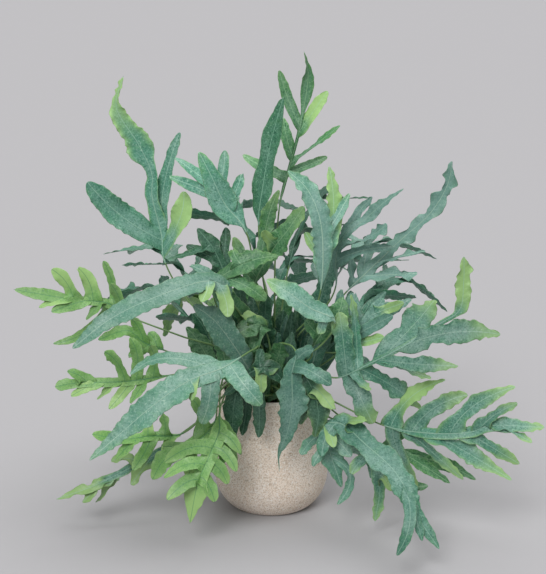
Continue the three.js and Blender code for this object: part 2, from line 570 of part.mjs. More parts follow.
function potProfile() {
  const rise = potHeight - potLip - potBellyHeight;
  const heights = [0, 4.5, 17, 30, ...[0, 1, 2, 3, 4].map((i) => potBellyHeight + (rise * i) / 4)];
  const outer = heights.map((z) => [potRadius(z), z]);
  const rim = [[potRimRadius - potLip, potHeight], [potRimRadius - potWall + potLip, potHeight]];
  const inner = [potHeight - potLip, 50, 24].map((z) => [potRadius(z) - potWall, z]);
  return [[0, 0], ...outer, ...rim, ...inner, [potFootRadius - 2, potFloor], [0, potFloor]];
}

// A plain cone with a rim standing out from it.
function innerPotProfile() {
  const top = potFloor + innerPotHeight;
  const lip = top - innerPotLipHeight;
  return [
    [0, potFloor], [innerPotFootRadius, potFloor], [innerPotTopRadius, lip],
    [innerPotTopRadius + innerPotLip, lip], [innerPotTopRadius + innerPotLip, top],
    [innerPotTopRadius - innerPotWall, top],
    [innerPotFootRadius - innerPotWall, potFloor + innerPotWall], [0, potFloor + innerPotWall],
  ];
}

// The soil fills the nursery pot, and its top is lower along the wall.
function soilBody() {
  const bottom = potFloor + innerPotWall;
  const edge = soilTop - 2;
  const widen = (innerPotTopRadius - innerPotFootRadius) / (innerPotHeight - innerPotWall);
  const wallAt = (z) => innerPotFootRadius + widen * (z - bottom) - innerPotWall - fit;
  return turned([
    [0, bottom], [wallAt(bottom), bottom], [wallAt(edge), edge], [wallAt(edge) - soilShoulder, soilTop],
    [0, soilTop],
  ], soilSides);
}

// What the soil leaves open round a stalk.
function hole(root) {
  const ring = (z) => Array.from({ length: holeSides }, (_, k) => new THREE.Vector3(
    root.x + holeRadius * Math.cos((2 * Math.PI * k) / holeSides),
    root.y + holeRadius * Math.sin((2 * Math.PI * k) / holeSides), z));
  return sweep([ring(soilTop - rootDepth - fit), ring(soilTop + uprightHeight)]);
}

// ---------- the whole plant ----------

const plant = new THREE.Group();

function put(name, body, colour, roughness, metalness = 0) {
  const { vertProperties, triVerts } = body.getMesh();
  const geometry = new THREE.BufferGeometry();
  geometry.setAttribute("position", new THREE.BufferAttribute(new Float32Array(vertProperties), 3));
  geometry.setIndex(new THREE.BufferAttribute(new Uint32Array(triVerts), 1));
  geometry.computeVertexNormals();
  const material = new THREE.MeshStandardMaterial({ color: colour, roughness, metalness });
  const mesh = new THREE.Mesh(geometry, material);
  mesh.name = name;
  plant.add(mesh);
}

const pot = turned(potProfile(), potSides);
const innerPot = turned(innerPotProfile(), innerPotSides);
const uncutSoil = soilBody();
const rootstock = rootstockBody();

put("stoneware_pot", pot, "#b9ab9a", 0.85);
put("nursery_pot", innerPot, "#17191a", 0.6);
put("rootstock", rootstock, "#8a5f33", 0.95);

// A body is free when its slightly thicker copy touches none of the others.
const apart = (a, b) => [0, 1, 2].some((k) => a.min[k] > b.max[k] || b.min[k] > a.max[k]);
function free(thick, others) {
  const box = thick.boundingBox();
  return others.every((other) => apart(box, other.box) || thick.intersect(other.body).isEmpty());
}
const known = (body) => ({ body, box: body.boundingBox() });
const obstacles = [pot, innerPot, rootstock].map(known);
const ground = [...obstacles, known(uncutSoil)];
const placed = []; // the fronds so far
const taken = new Set(); // and the places where they stand

// 0, 1, -1, 2, -2 and so on
const tries = (most) => Array.from({ length: 2 * most + 1 }, (_, i) => (i % 2 ? (i + 1) / 2 : -i / 2));

// The first depth, place and bow at which a frond's stalk, midrib and end lobe touch nothing.
function settle(plan, roots) {
  for (const raised of tries(risesMost)) {
    const shift = towards.clone().multiplyScalar(raised * riseStep);
    for (const root of roots) {
      for (const bowed of tries(bowsMost)) {
        const thick = spineOf(plan, root, bowed * bowStep, raised * riseStep, fit);
        if (!free(thick.body, [...obstacles, ...placed])) continue;
        taken.add(root);
        return { ...spineOf(plan, root, bowed * bowStep, raised * riseStep), shift, root };
      }
    }
  }
  throw new Error(`no room for ${plan.name}`);
}

// A lobe that finds no clear bend is left off.
function grow(plan, number, roots) {
  const spine = settle(plan, roots);
  const lobes = plan.lobes.flatMap((_, index) => {
    const clear = (bent) => free(lobeOf(plan, spine, index, number, bent, fit), [...ground, ...placed]);
    const bent = tries(bendsMost).find(clear);
    return bent === undefined ? [] : [lobeOf(plan, spine, index, number, bent)];
  });
  return { root: spine.root, body: lobes.reduce((all, lobe) => all.add(lobe), spine.body) };
}

// Fronds of one name are a tuft: they stand in one place, joined at the foot.
const clumps = Map.groupBy(fronds.entries(), ([, plan]) => plan.name);
for (const [name, members] of clumps) {
  const [[number, first], ...others] = members;
  const { root, body } = grow(first, number, likelyPlaces(first));
  const tufted = others.reduce((all, [place, plan]) => all.add(grow(plan, place, [root]).body), body);
  const joined = whole(tufted);
  placed.push(known(joined));
  put(name, joined, tones[first.tone], 0.7);
}

const soil = [...taken].map(hole).reduce((left, cut) => left.subtract(cut), uncutSoil);
put("soil", soil, "#2c241c", 1);

export default plant;
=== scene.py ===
import math

import bpy
import numpy as np
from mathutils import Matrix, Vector


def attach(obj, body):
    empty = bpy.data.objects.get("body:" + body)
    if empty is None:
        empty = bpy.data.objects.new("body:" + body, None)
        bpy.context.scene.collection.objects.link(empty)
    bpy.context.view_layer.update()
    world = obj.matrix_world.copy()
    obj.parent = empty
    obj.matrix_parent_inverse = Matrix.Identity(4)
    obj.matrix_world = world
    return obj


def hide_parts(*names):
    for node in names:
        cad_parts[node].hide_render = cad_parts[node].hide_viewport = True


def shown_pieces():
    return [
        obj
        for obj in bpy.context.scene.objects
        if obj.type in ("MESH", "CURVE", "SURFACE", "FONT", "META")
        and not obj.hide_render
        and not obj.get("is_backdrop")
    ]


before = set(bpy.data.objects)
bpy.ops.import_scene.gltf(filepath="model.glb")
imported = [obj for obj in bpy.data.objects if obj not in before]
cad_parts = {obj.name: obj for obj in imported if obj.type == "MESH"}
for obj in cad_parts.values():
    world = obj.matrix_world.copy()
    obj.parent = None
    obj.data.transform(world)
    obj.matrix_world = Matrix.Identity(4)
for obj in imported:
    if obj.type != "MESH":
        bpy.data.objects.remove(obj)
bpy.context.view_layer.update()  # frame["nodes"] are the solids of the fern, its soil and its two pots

mm = 0.001  # sizes below are millimetres, and the meshes are metres
seed = 7

camera = {
    "place": (0.0025, -1.7387, 0.7479),
    "target": (0.0025, 0.0, 0.282),
    "lens": 91.9,
}
studio = {
    "floorRadius": 40.0,
    "floorSides": 64,
    "floorPaint": ((0.435, 0.43, 0.44, 1), 0.9, 0.2),  # colour, roughness and gloss
    "worldColour": (1.0, 0.985, 1.01, 1),
    "worldStrength": 0.36,
    # name, energy, angle of softness, direction that the light comes from
    "lights": [
        ("keyLight", 1.8, 26, (-0.4, -1.15, 1.05)),
        ("topLight", 1.65, 55, (0.25, 0.1, 1.0)),
    ],
}


def lookAlong(item, direction):
    item.rotation_euler = Vector(direction).to_track_quat("-Z", "Y").to_euler()


def addObject(name, data):
    item = bpy.data.objects.new(name, data)
    bpy.context.scene.collection.objects.link(item)
    return item


def makeStudio():
    scene = bpy.context.scene
    scene.view_settings.view_transform = "Standard"
    eye = addObject("camera", bpy.data.cameras.new("camera"))
    eye.data.lens = camera["lens"]
    eye.location = camera["place"]
    lookAlong(eye, Vector(camera["target"]) - Vector(camera["place"]))
    scene.camera = eye

    for name, energy, softness, source in studio["lights"]:
        lamp = addObject(name, bpy.data.lights.new(name, "SUN"))
        lamp.data.energy = energy
        lamp.data.angle = math.radians(softness)
        lookAlong(lamp, -Vector(source))

    world = bpy.data.worlds.new("studioWorld")
    world.use_nodes = True
    background = world.node_tree.nodes["Background"]
    background.inputs["Color"].default_value = studio["worldColour"]
    background.inputs["Strength"].default_value = studio["worldStrength"]
    scene.world = world

    # the floor is a wide disc
    turn = np.linspace(0, 2 * np.pi, studio["floorSides"], endpoint=False)
    rim = studio["floorRadius"] * np.stack([np.cos(turn), np.sin(turn), 0 * turn], -1)
    mesh = bpy.data.meshes.new("floor")
    mesh.from_pydata(rim.tolist(), [], [list(range(len(rim)))])
    mesh.materials.append(newMaterial("floorPaint", *studio["floorPaint"])[0])
    floor = addObject("floor", mesh)
    floor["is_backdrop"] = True
    print("studio: camera, floor and", len(studio["lights"]), "lights")


def unit(a):
    return a / np.maximum(np.linalg.norm(a, axis=-1, keepdims=True), 1e-9)


def smooth(x):  # an even rise from 0 to 1
    x = np.clip(x, 0, 1)
    return x * x * (3 - 2 * x)


def mix(a, b, share):
    return a + (b - a) * share


def waver(x, start):  # three sines of odd lengths, so it never repeats
    first, second, third = np.sin(x + start), np.sin(2.17 * x + 2.3 * start), np.sin(3.71 * x + 4.1 * start)
    return 0.5 * first + 0.3 * second + 0.2 * third


def splineAt(points, t):
    # point and direction at each t from 0 to 1 on the Catmull-Rom curve through the points:
    # cubic pieces whose slope at a point is half the way from the one before to the one after
    last = len(points) - 1
    ends = np.vstack([2 * points[0] - points[1], points, 2 * points[-1] - points[-2]])
    place = np.clip(t, 0, 1) * last
    piece = np.minimum(place.astype(int), last - 1)
    w = (place - piece)[:, None]
    before, near, far, after = (ends[piece + k] for k in range(4))
    slopeNear, slopeFar = (far - before) / 2, (after - near) / 2
    square = -3 * near + 3 * far - 2 * slopeNear - slopeFar
    cube = 2 * near - 2 * far + slopeNear + slopeFar
    point = near + slopeNear * w + square * w**2 + cube * w**3
    return point, unit(slopeNear + 2 * square * w + 3 * cube * w**2)


def bendAt(start, pull, end, u):
    # point and direction on the quadratic curve that leaves start towards pull and reaches end
    u = u[:, None]
    point = (1 - u) ** 2 * start + 2 * u * (1 - u) * pull + u**2 * end
    return point, unit((1 - u) * (pull - start) + u * (end - pull) + 1e-6)


def lengths(points):  # distance run from the first point to each
    return np.r_[0, np.cumsum(np.linalg.norm(np.diff(points, axis=0), axis=1))]


def facing(run, face, turn):
    # upward direction square to the run and turned about it, and the direction across
    up = unit(face - (run @ face)[:, None] * run)
    up = up * np.cos(turn)[:, None] + np.cross(run, up) * np.sin(turn)[:, None]
    return up, np.cross(up, run)


def ringShell(rings, root, tip, place, span, finish):
    # a closed body: rings of points joined by quads, and a fan to a point at each end;
    # place and span are three numbers a point that the materials read
    count, sides = rings.shape[:2]
    ring, k = np.meshgrid(np.arange(count - 1), np.arange(sides), indexing="ij")
    a, b = ring * sides + k, ring * sides + (k + 1) % sides
    quads = np.stack([a, b, b + sides, a + sides], -1).reshape(-1, 4)
    k = np.arange(sides)
    after, base = (k + 1) % sides, (count - 1) * sides
    ends = np.full(sides, count * sides)
    fans = np.stack([after, k, ends], -1), np.stack([base + k, base + after, ends + 1], -1)

    def closed(values):
        return np.vstack([values.reshape(-1, 3), values[0].mean(0), values[-1].mean(0)])

    points = np.vstack([rings.reshape(-1, 3), root, tip])
    return {"points": points, "quads": quads, "triangles": np.vstack(fans), "place": closed(place),
            "span": closed(span), "finish": finish}


def tube(path, up, aside, radius, sides, finish, lumps=0):
    # a round section of changing radius carried along a path, ending in a point
    turn = 2 * np.pi * np.arange(sides) / sides
    size = radius[:, None] * (1 + lumps * np.sin(3 * turn + 1.3 * np.arange(len(path))[:, None]))
    rings = (path[:, None] + (size * np.cos(turn))[..., None] * aside[:, None]
             + (size * np.sin(turn))[..., None] * up[:, None])
    along = np.broadcast_to(lengths(path)[:, None], size.shape)
    share = along / along[-1, 0]
    place = np.stack([share, 0 * share, 0 * share], -1)
    span = np.stack([along * mm, 0 * share, 0 * share], -1)
    tip = path[-1] + np.cross(aside[-1], up[-1]) * radius[-1]
    return ringShell(rings, path[0], tip, place, span, finish)


def makePiece(name, parts, materials, node):
    # joins bodies into one mesh object, which rides on the plant and stands for a node
    mesh = bpy.data.meshes.new(name)
    starts = np.r_[0, np.cumsum([len(part["points"]) for part in parts])[:-1]]
    points = np.vstack([part["points"] for part in parts])
    kinds = "quads", "triangles"
    faces = [np.vstack([part[kind] + start for part, start in zip(parts, starts)]) for kind in kinds]
    counts = [len(part[kind]) for kind in kinds for part in parts]
    finishes = np.repeat([part["finish"] for part in parts] * 2, counts)
    corners = np.concatenate([face.ravel() for face in faces])
    sizes = np.repeat([4, 3], [len(face) for face in faces])
    mesh.vertices.add(len(points))
    mesh.vertices.foreach_set("co", (points * mm).ravel())
    mesh.loops.add(len(corners))
    mesh.loops.foreach_set("vertex_index", corners)
    mesh.polygons.add(len(sizes))
    mesh.polygons.foreach_set("loop_start", np.r_[0, np.cumsum(sizes)[:-1]])
    mesh.polygons.foreach_set("material_index", finishes)
    mesh.polygons.foreach_set("use_smooth", np.ones(len(sizes), bool))
    for key in ("place", "span"):
        values = np.vstack([part[key] for part in parts])
        mesh.attributes.new(key, "FLOAT_VECTOR", "POINT").data.foreach_set("vector", values.ravel())
    mesh.update(calc_edges=True)
    for material in materials:
        mesh.materials.append(material)
    piece = addObject(name, mesh)
    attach(piece, "root")
    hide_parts(node)
    return piece


def addNode(tree, kind, inputs=None, **settings):
    made = tree.nodes.new("ShaderNode" + kind)
    for key, value in settings.items():
        setattr(made, key, value)
    for key, value in (inputs or {}).items():
        if isinstance(value, bpy.types.NodeSocket):
            tree.links.new(value, made.inputs[key])
        else:
            made.inputs[key].default_value = value
    return made


def maths(tree, operation, *values):
    return addNode(tree, "Math", dict(enumerate(values)), operation=operation).outputs[0]


def product(tree, a, b):
    return maths(tree, "MULTIPLY", a, b)


def scaled(tree, value, times, plus):
    return maths(tree, "MULTIPLY_ADD", value, times, plus)


def blendColours(tree, share, a, b):
    return addNode(tree, "Mix", {0: share, 6: a, 7: b}, data_type="RGBA").outputs[2]


def ramp(tree, value, low, high):
    # 0 below low and 1 above high, or the other way round where low is the larger
    return addNode(tree, "MapRange", {"Value": value, "From Min": low, "From Max": high},
                   interpolation_type="SMOOTHSTEP").outputs[0]


def tint(tree, colour, value, low, high, amount, over):
    # lays a colour over another by the amount, where the value passes from low to high
    return blendColours(tree, product(tree, ramp(tree, value, low, high), amount), colour, over)


def noise(tree, where, scale, detail=3.0, roughness=0.55):
    return addNode(tree, "TexNoise", {"Vector": where, "Scale": scale, "Detail": detail,
                                      "Roughness": roughness}).outputs["Fac"]


def newGroup(name, inputs, outputs):
    # a shader node group with named inputs, each with its value, and named outputs
    tree = bpy.data.node_groups.new(name, "ShaderNodeTree")
    kinds = {float: "NodeSocketFloat", tuple: "NodeSocketColor"}
    for label, value in inputs.items():
        socket = tree.interface.new_socket(label, in_out="INPUT", socket_type=kinds[type(value)])
        socket.default_value = value
    for label, kind in outputs.items():
        tree.interface.new_socket(label, in_out="OUTPUT", socket_type=kinds[kind])
    return tree, tree.nodes.new("NodeGroupInput").outputs, tree.nodes.new("NodeGroupOutput").inputs


def newMaterial(name, colour, roughness, gloss=0.5):
    # a Principled material, its node tree, its shader and the place on the object
    material = bpy.data.materials.new(name)
    material.use_nodes = True
    material.diffuse_color = colour
    tree = material.node_tree
    shader = tree.nodes["Principled BSDF"]
    shader.inputs["Base Color"].default_value = colour
    shader.inputs["Roughness"].default_value = roughness
    shader.inputs["Specular IOR Level"].default_value = gloss
    where = tree.nodes.new("ShaderNodeTexCoord").outputs["Object"]
    return material, tree, shader, where


def paint(tree, shader, colour, roughness, height, strength, depth):
    # links the colour and the roughness, and the height as a bump of a strength and a depth in metres
    relief = addNode(tree, "Bump", {"Height": height, "Strength": strength, "Distance": depth})
    for key, value in (("Base Color", colour), ("Roughness", roughness), ("Normal", relief.outputs[0])):
        tree.links.new(value, shader.inputs[key])


# Leaf: a deep and a main green mottled together, a pale waxy bloom in larger clouds, greener
# patches, fine dark and light flecks, side veins drawn as slanting lines, a thin midrib, a light
# margin, and fresh yellow-green growth.
leafLayers = ("Deep", "Main", "Bloom", "Patch", "Rib")
leafTones = {
    "blue": [(0.031, 0.135, 0.088, 1), (0.086, 0.258, 0.178, 1), (0.27, 0.43, 0.37, 1),
             (0.060, 0.240, 0.095, 1), (0.30, 0.48, 0.36, 1)],
    "pale": [(0.070, 0.215, 0.150, 1), (0.140, 0.330, 0.240, 1), (0.35, 0.51, 0.44, 1),
             (0.105, 0.305, 0.140, 1), (0.40, 0.58, 0.44, 1)],
    "green": [(0.023, 0.115, 0.045, 1), (0.073, 0.232, 0.090, 1), (0.21, 0.37, 0.23, 1),
              (0.085, 0.260, 0.052, 1), (0.26, 0.45, 0.24, 1)],
    "dark": [(0.011, 0.068, 0.036, 1), (0.036, 0.140, 0.075, 1), (0.14, 0.27, 0.20, 1),
             (0.034, 0.135, 0.040, 1), (0.18, 0.34, 0.24, 1)],
    "young": [(0.120, 0.310, 0.075, 1), (0.165, 0.375, 0.095, 1), (0.29, 0.48, 0.21, 1),
              (0.300, 0.520, 0.170, 1), (0.045, 0.175, 0.095, 1)],
}
leafFinish = {
    "fresh": (0.30, 0.49, 0.17, 1),
    "silver": (0.25, 0.40, 0.375, 1),
    "margin": (0.36, 0.52, 0.30, 1),
    "veinGap": 6.2,
    "veinLean": 0.85,
    "ribHalf": 0.55,
    # scale, detail and roughness of each pattern of noise
    "mottle": (300.0, 6.0, 0.7),
    "cloud": (24.0, 3.0, 0.55),
    "patch": (75.0, 4.0, 0.65),
    "fleck": (560.0, 2.0, 0.6),
    "speck": (480.0, 1.0, 0.4),
    # where in its pattern a fleck begins and where it is full, its amount and its colour
    "darkFleck": (0.53, 0.7, 0.5, "Deep"),
    "lightFleck": (0.46, 0.3, 0.35, "Bloom"),
    "darkSpeck": (0.61, 0.68, 0.8, "Deep"),
    "lightSpeck": (0.36, 0.29, 0.5, "Rib"),
    "veins": 0.12,
    "gloss": 0.42,
    "relief": (0.5, 0.0005),
}


def leafGroup():
    inputs = {label: (0, 0, 0, 1) for label in leafLayers}
    outputs = {"Colour": tuple, "Roughness": float, "Height": float}
    tree, given, out = newGroup("leafSurface", inputs, outputs)
    where = tree.nodes.new("ShaderNodeTexCoord").outputs["Object"]
    # place is the share along, the place across from -1 to 1 and the fresh growth, and span is how far
    # along and across in metres, and the tone, which carries painted light and shade
    place = addNode(tree, "Attribute", attribute_name="place").outputs["Vector"]
    span = addNode(tree, "Attribute", attribute_name="span").outputs["Vector"]
    share, across, fresh = addNode(tree, "SeparateXYZ", {0: place}).outputs
    along, reach, paintedLightAndTone = addNode(tree, "SeparateXYZ", {0: span}).outputs
    fromRib = maths(tree, "ABSOLUTE", reach)
    fromMiddle = maths(tree, "ABSOLUTE", across)

    patterns = "mottle", "cloud", "patch", "fleck", "speck"
    mottle, cloud, patch, fleck, speck = (noise(tree, where, *leafFinish[name]) for name in patterns)
    colour = blendColours(tree, ramp(tree, mottle, 0.2, 0.7), given["Deep"], given["Main"])
    outer = product(tree, fromMiddle, fromMiddle)
    greener = scaled(tree, outer, 0.4, product(tree, ramp(tree, patch, 0.5, 0.7), 0.45))
    colour = blendColours(tree, greener, colour, given["Patch"])
    bloom = product(tree, ramp(tree, cloud, 0.38, 0.68), ramp(tree, mottle, 0.1, 0.72))
    inner = scaled(tree, outer, -0.25, 0.6)
    colour = blendColours(tree, product(tree, bloom, inner), colour, given["Bloom"])

    # a vein passes where the distance along, less the lean times the distance out, is a whole gap
    phase = maths(tree, "SUBTRACT", along, product(tree, fromRib, leafFinish["veinLean"]))
    phase = maths(tree, "DIVIDE", phase, leafFinish["veinGap"] * mm)
    offVein = maths(tree, "PINGPONG", maths(tree, "ADD", phase, 0.5), 0.5)
    vein = product(tree, ramp(tree, offVein, 0.42, 0.5), ramp(tree, fromMiddle, 0.95, 0.6))
    colour = blendColours(tree, product(tree, vein, leafFinish["veins"]), colour, given["Rib"])
    flecks = (fleck, "darkFleck"), (fleck, "lightFleck"), (speck, "darkSpeck"), (speck, "lightSpeck")
    for value, name in flecks:
        *settings, layer = leafFinish[name]
        colour = tint(tree, colour, value, *settings, given[layer])

    # a silvery bloom all over where fresh is below 0, and fresh growth above, patchy where it begins
    silver = product(tree, product(tree, fresh, -1.8), mottle)
    colour = blendColours(tree, silver, colour, leafFinish["silver"])
    patchy = maths(tree, "ADD", fresh, scaled(tree, patch, 0.5, -0.25))
    begun = maths(tree, "MINIMUM", product(tree, fresh, 4.0), 0.9)
    colour = tint(tree, colour, patchy, 0.0, 0.95, begun, leafFinish["fresh"])
    begun = product(tree, ramp(tree, share, 0.0, 0.2), 0.4)
    colour = tint(tree, colour, fromMiddle, 0.93, 1.0, begun, leafFinish["margin"])
    ribHalf = leafFinish["ribHalf"] * mm
    colour = tint(tree, colour, fromRib, ribHalf, 0.3 * ribHalf, 0.65, given["Rib"])

    # each lobe has its own tone, which also carries painted light and shade: fronds at the top are
    # painted lighter, and those deep inside the plant and low down darker
    colour = addNode(tree, "HueSaturation", {"Value": paintedLightAndTone, "Color": colour}).outputs[0]
    height = maths(tree, "SUBTRACT", product(tree, mottle, 0.6), product(tree, vein, 0.5))
    tree.links.new(colour, out["Colour"])
    tree.links.new(scaled(tree, mottle, 0.35, 0.24), out["Roughness"])
    tree.links.new(maths(tree, "ADD", height, product(tree, fleck, 0.8)), out["Height"])
    return tree


def leafMaterial(tone, group):
    material, tree, shader, _ = newMaterial("leaf_" + tone, leafTones[tone][1], 0.5, leafFinish["gloss"])
    made = addNode(tree, "Group", dict(zip(leafLayers, leafTones[tone])), node_tree=group)
    paint(tree, shader, *made.outputs, *leafFinish["relief"])
    return material


stalkFinish = {
    "foot": (0.050, 0.028, 0.014, 1),
    "stem": (0.085, 0.150, 0.042, 1),
    "top": (0.150, 0.270, 0.095, 1),
    "grainScale": 260.0,
    "relief": (0.4, 0.0004),
}


def shareAlong(tree):  # 0 at the foot of a stalk or hair and 1 at its tip
    place = addNode(tree, "Attribute", attribute_name="place").outputs["Vector"]
    return addNode(tree, "SeparateXYZ", {0: place}).outputs[0]


def stalkMaterial():
    # brown where it leaves the soil, then olive, then light green along the midrib
    material, tree, shader, where = newMaterial("stalkSkin", stalkFinish["stem"], 0.45)
    grain = noise(tree, where, stalkFinish["grainScale"], 4.0)
    shifted = maths(tree, "ADD", shareAlong(tree), scaled(tree, grain, 0.16, -0.08))
    colour = blendColours(tree, ramp(tree, shifted, 0.06, 0.26), stalkFinish["foot"], stalkFinish["stem"])
    colour = blendColours(tree, ramp(tree, shifted, 0.35, 0.62), colour, stalkFinish["top"])
    paint(tree, shader, colour, scaled(tree, grain, 0.3, 0.3), grain, *stalkFinish["relief"])
    return material


stonewareFinish = {
    "clay": (0.90, 0.80, 0.70, 1),
    "warm": (0.84, 0.715, 0.595, 1),
    "light": (0.94, 0.89, 0.83, 1),
    "grain": (0.37, 0.26, 0.17, 1),
    "dust": (0.60, 0.47, 0.35, 1),
    "cloudScale": 22.0,
    "lightScale": 440.0,
    "dustScale": 640.0,
    "grainScale": 330.0,
    "amounts": (0.8, 0.75, 0.6, 0.4),  # of light grains, dust, brown grains and the rubbed lip
    "gloss": 0.3,
    "relief": (0.6, 0.0006),
}


def stonewareMaterial():
    # clay in soft clouds, thick with light grains and brown ones of two sizes, and small pits;
    # the rubbed lip is lighter
    finish = stonewareFinish
    material, tree, shader, where = newMaterial("speckledStoneware", finish["clay"], 0.85, finish["gloss"])
    cloud = noise(tree, where, finish["cloudScale"], 4.0)
    light = noise(tree, where, finish["lightScale"], 2.0)
    dust = noise(tree, where, finish["dustScale"], 2.0, 0.5)
    grain = noise(tree, where, finish["grainScale"], 2.0, 0.5)
    height = addNode(tree, "SeparateXYZ", {0: where}).outputs[2]
    lip = (pot["height"] - 4) * mm, (pot["height"] - 1) * mm
    colour = blendColours(tree, ramp(tree, cloud, 0.35, 0.7), finish["clay"], finish["warm"])
    layers = ((light, 0.50, 0.60, "light"), (dust, 0.48, 0.60, "dust"), (grain, 0.63, 0.70, "grain"),
              (height, *lip, "light"))
    for (value, low, high, over), amount in zip(layers, finish["amounts"]):
        colour = tint(tree, colour, value, low, high, amount, finish[over])
    rough = maths(tree, "SUBTRACT", light, product(tree, ramp(tree, grain, 0.6, 0.7), 0.8))
    paint(tree, shader, colour, scaled(tree, light, 0.3, 0.68), rough, *finish["relief"])
    return material


plasticFinish = {
    "black": (0.012, 0.013, 0.014, 1),
    "dust": (0.07, 0.06, 0.05, 1),
    "scuffScale": 130.0,
    "relief": (0.2, 0.0003),
}


def plasticMaterial():
    # dull black plastic with fine scuffs and a little dust in them
    material, tree, shader, where = newMaterial("nurseryPlastic", plasticFinish["black"], 0.45)
    scuff = noise(tree, where, plasticFinish["scuffScale"], 6.0, 0.7)
    colour = tint(tree, plasticFinish["black"], scuff, 0.55, 0.8, 0.5, plasticFinish["dust"])
    paint(tree, shader, colour, scaled(tree, scuff, 0.4, 0.25), scuff, *plasticFinish["relief"])
    return material


soilFinish = {
    "soil": (0.03, 0.02, 0.013, 1),
    "damp": (0.010, 0.007, 0.005, 1),
    "dry": (0.055, 0.036, 0.022, 1),
    "bark": (0.13, 0.075, 0.038, 1),
    "crumbScale": 210.0,
    "barkScale": 240.0,
    "relief": (0.9, 0.0015),
}


def soilMaterial():
    # dark moist crumbs, some of them brown bark
    material, tree, shader, where = newMaterial("moistSoil", soilFinish["soil"], 0.9)
    crumb = noise(tree, where, soilFinish["crumbScale"], 5.0, 0.65)
    cells = addNode(tree, "TexVoronoi", {"Vector": where, "Scale": soilFinish["barkScale"]})
    patch = addNode(tree, "SeparateColor", {0: cells.outputs["Color"]}).outputs[0]
    colour = blendColours(tree, ramp(tree, crumb, 0.35, 0.7), soilFinish["damp"], soilFinish["dry"])
    colour = tint(tree, colour, patch, 0.75, 0.95, 0.7, soilFinish["bark"])
    paint(tree, shader, colour, scaled(tree, crumb, 0.4, 0.6), crumb, *soilFinish["relief"])
    return material


furFinish = {
    "fur": (0.25, 0.115, 0.034, 1),
    "foot": (0.050, 0.025, 0.011, 1),
    "tip": (0.30, 0.165, 0.065, 1),
    "grainScale": 340.0,
    "relief": (0.5, 0.0006),
}


def furMaterial():
    # golden-brown scales and hairs of the rootstock, lighter towards their ends
    material, tree, shader, where = newMaterial("rootFur", furFinish["fur"], 0.8)
    grain = noise(tree, where, furFinish["grainScale"], 4.0)
    mixed = scaled(tree, shareAlong(tree), 0.6, scaled(tree, grain, 0.9, -0.25))
    mixed = maths(tree, "MINIMUM", maths(tree, "MAXIMUM", mixed, 0.0), 1.0)
    colour = blendColours(tree, mixed, furFinish["foot"], furFinish["tip"])
    paint(tree, shader, colour, scaled(tree, grain, 0.3, 0.6), grain, *furFinish["relief"])
    return material


pot = {
    "height": 153,
    "footRadius": 48,
    "bellyRadius": 71.5,
    "bellyHeight": 43,
    "rimRadius": 64,
    "wall": 5.5,
    "floor": 7,
    "lip": 1.5,
    "footRing": 7,
    "recess": 0.6,
    "bellySections": 22,
    "wallSections": 30,
    "rimSections": 9,
    "innerSections": 26,
    "bendHeight": 20,  # below this the wall inside bends into the floor, by way of these two points
    "innerBend": [[58, 13], [52, 8.5]],
    "floorRadius": 46,
    "around": 220,
    "unevenness": 0.22,
}
nurseryPot = {
    "height": 141,
    "footRadius": 43,
    "topRadius": 55,
    "wall": 1.4,
    "lip": 2,
    "lipHeight": 6,
    "fillet": 0.8,
    "around": 160,
}
soil = {
    "top": 134,
    "shoulder": 6,
    "sunk": 2.5,
    "lumps": 1.1,
    "around": 120,
    "rings": 34,
    "crumbs": 520,
    "crumbReach": 50,
    "crumbSize": (1.2, 3.6),
    "crumbShape": (1.3, 0.9, 0.55),
}
rootstock = {
    "arms": 6,
    "reach": 49,
    "radius": 4.6,
    "tipRadius": 0.72,  # next to the radius
    "raised": 0.78,  # how much of its radius an arm lies above the soil
    "bend": 1.6,
    "lumps": 0.05,
    "rings": 60,
    "sides": 20,
    "hairs": 5200,
    "hairLength": (2.2, 4.8),
    "hairHalf": 0.16,
    "hairSpread": 0.28,
    "firstPlace": 20.5,
    "placeStep": 6.4,
    "placesPerSide": 5,
    "placeAside": 7.7,
    "rootDepth": 16,
}


def turned(outline, around, finish=0, dent=None):
    # a closed outline of [radius, height] points from axis to axis, turned round the axis
    outline = np.array(outline, float)
    turn = 2 * np.pi * np.arange(around) / around
    radius = np.repeat(outline[1:-1, :1], around, axis=1)
    if dent is not None:
        radius = radius + dent(outline[1:-1, 1:], turn[None, :]) * smooth(radius / 20)
    rings = np.stack([radius * np.cos(turn), radius * np.sin(turn),
                      np.repeat(outline[1:-1, 1:], around, axis=1)], -1)
    blank = np.zeros(rings.shape)
    root, tip = [0, 0, outline[0, 1]], [0, 0, outline[-1, 1]]
    return ringShell(rings, root, tip, blank, blank, finish)


def roundedOutline(corners, fillet, steps=6):
    # rounds each inner corner of an outline with a quadratic bend of the given reach
    corners = np.array(corners, float)
    points = [corners[0]]
    for before, corner, after in zip(corners, corners[1:], corners[2:]):
        reach = min(fillet, 0.45 * np.linalg.norm(before - corner), 0.45 * np.linalg.norm(after - corner))
        start = corner + reach * unit(before - corner)
        end = corner + reach * unit(after - corner)
        for u in np.linspace(0, 1, steps):
            points.append((1 - u) ** 2 * start + 2 * u * (1 - u) * corner + u * u * end)
    points.append(corners[-1])
    return np.array(points)


def potRadius(z):
    # a belly rounded in from the foot, then a wall that slopes in more and more towards the rim
    turn = np.arccos(np.clip(1 - z / pot["bellyHeight"], 0, 1))
    belly = mix(pot["footRadius"], pot["bellyRadius"], np.sin(turn) ** 1.5)
    rise = pot["height"] - pot["lip"] - pot["bellyHeight"]
    wall = mix(pot["bellyRadius"], pot["rimRadius"], np.clip((z - pot["bellyHeight"]) / rise, 0, 1) ** 1.7)
    return np.where(z < pot["bellyHeight"], belly, wall)


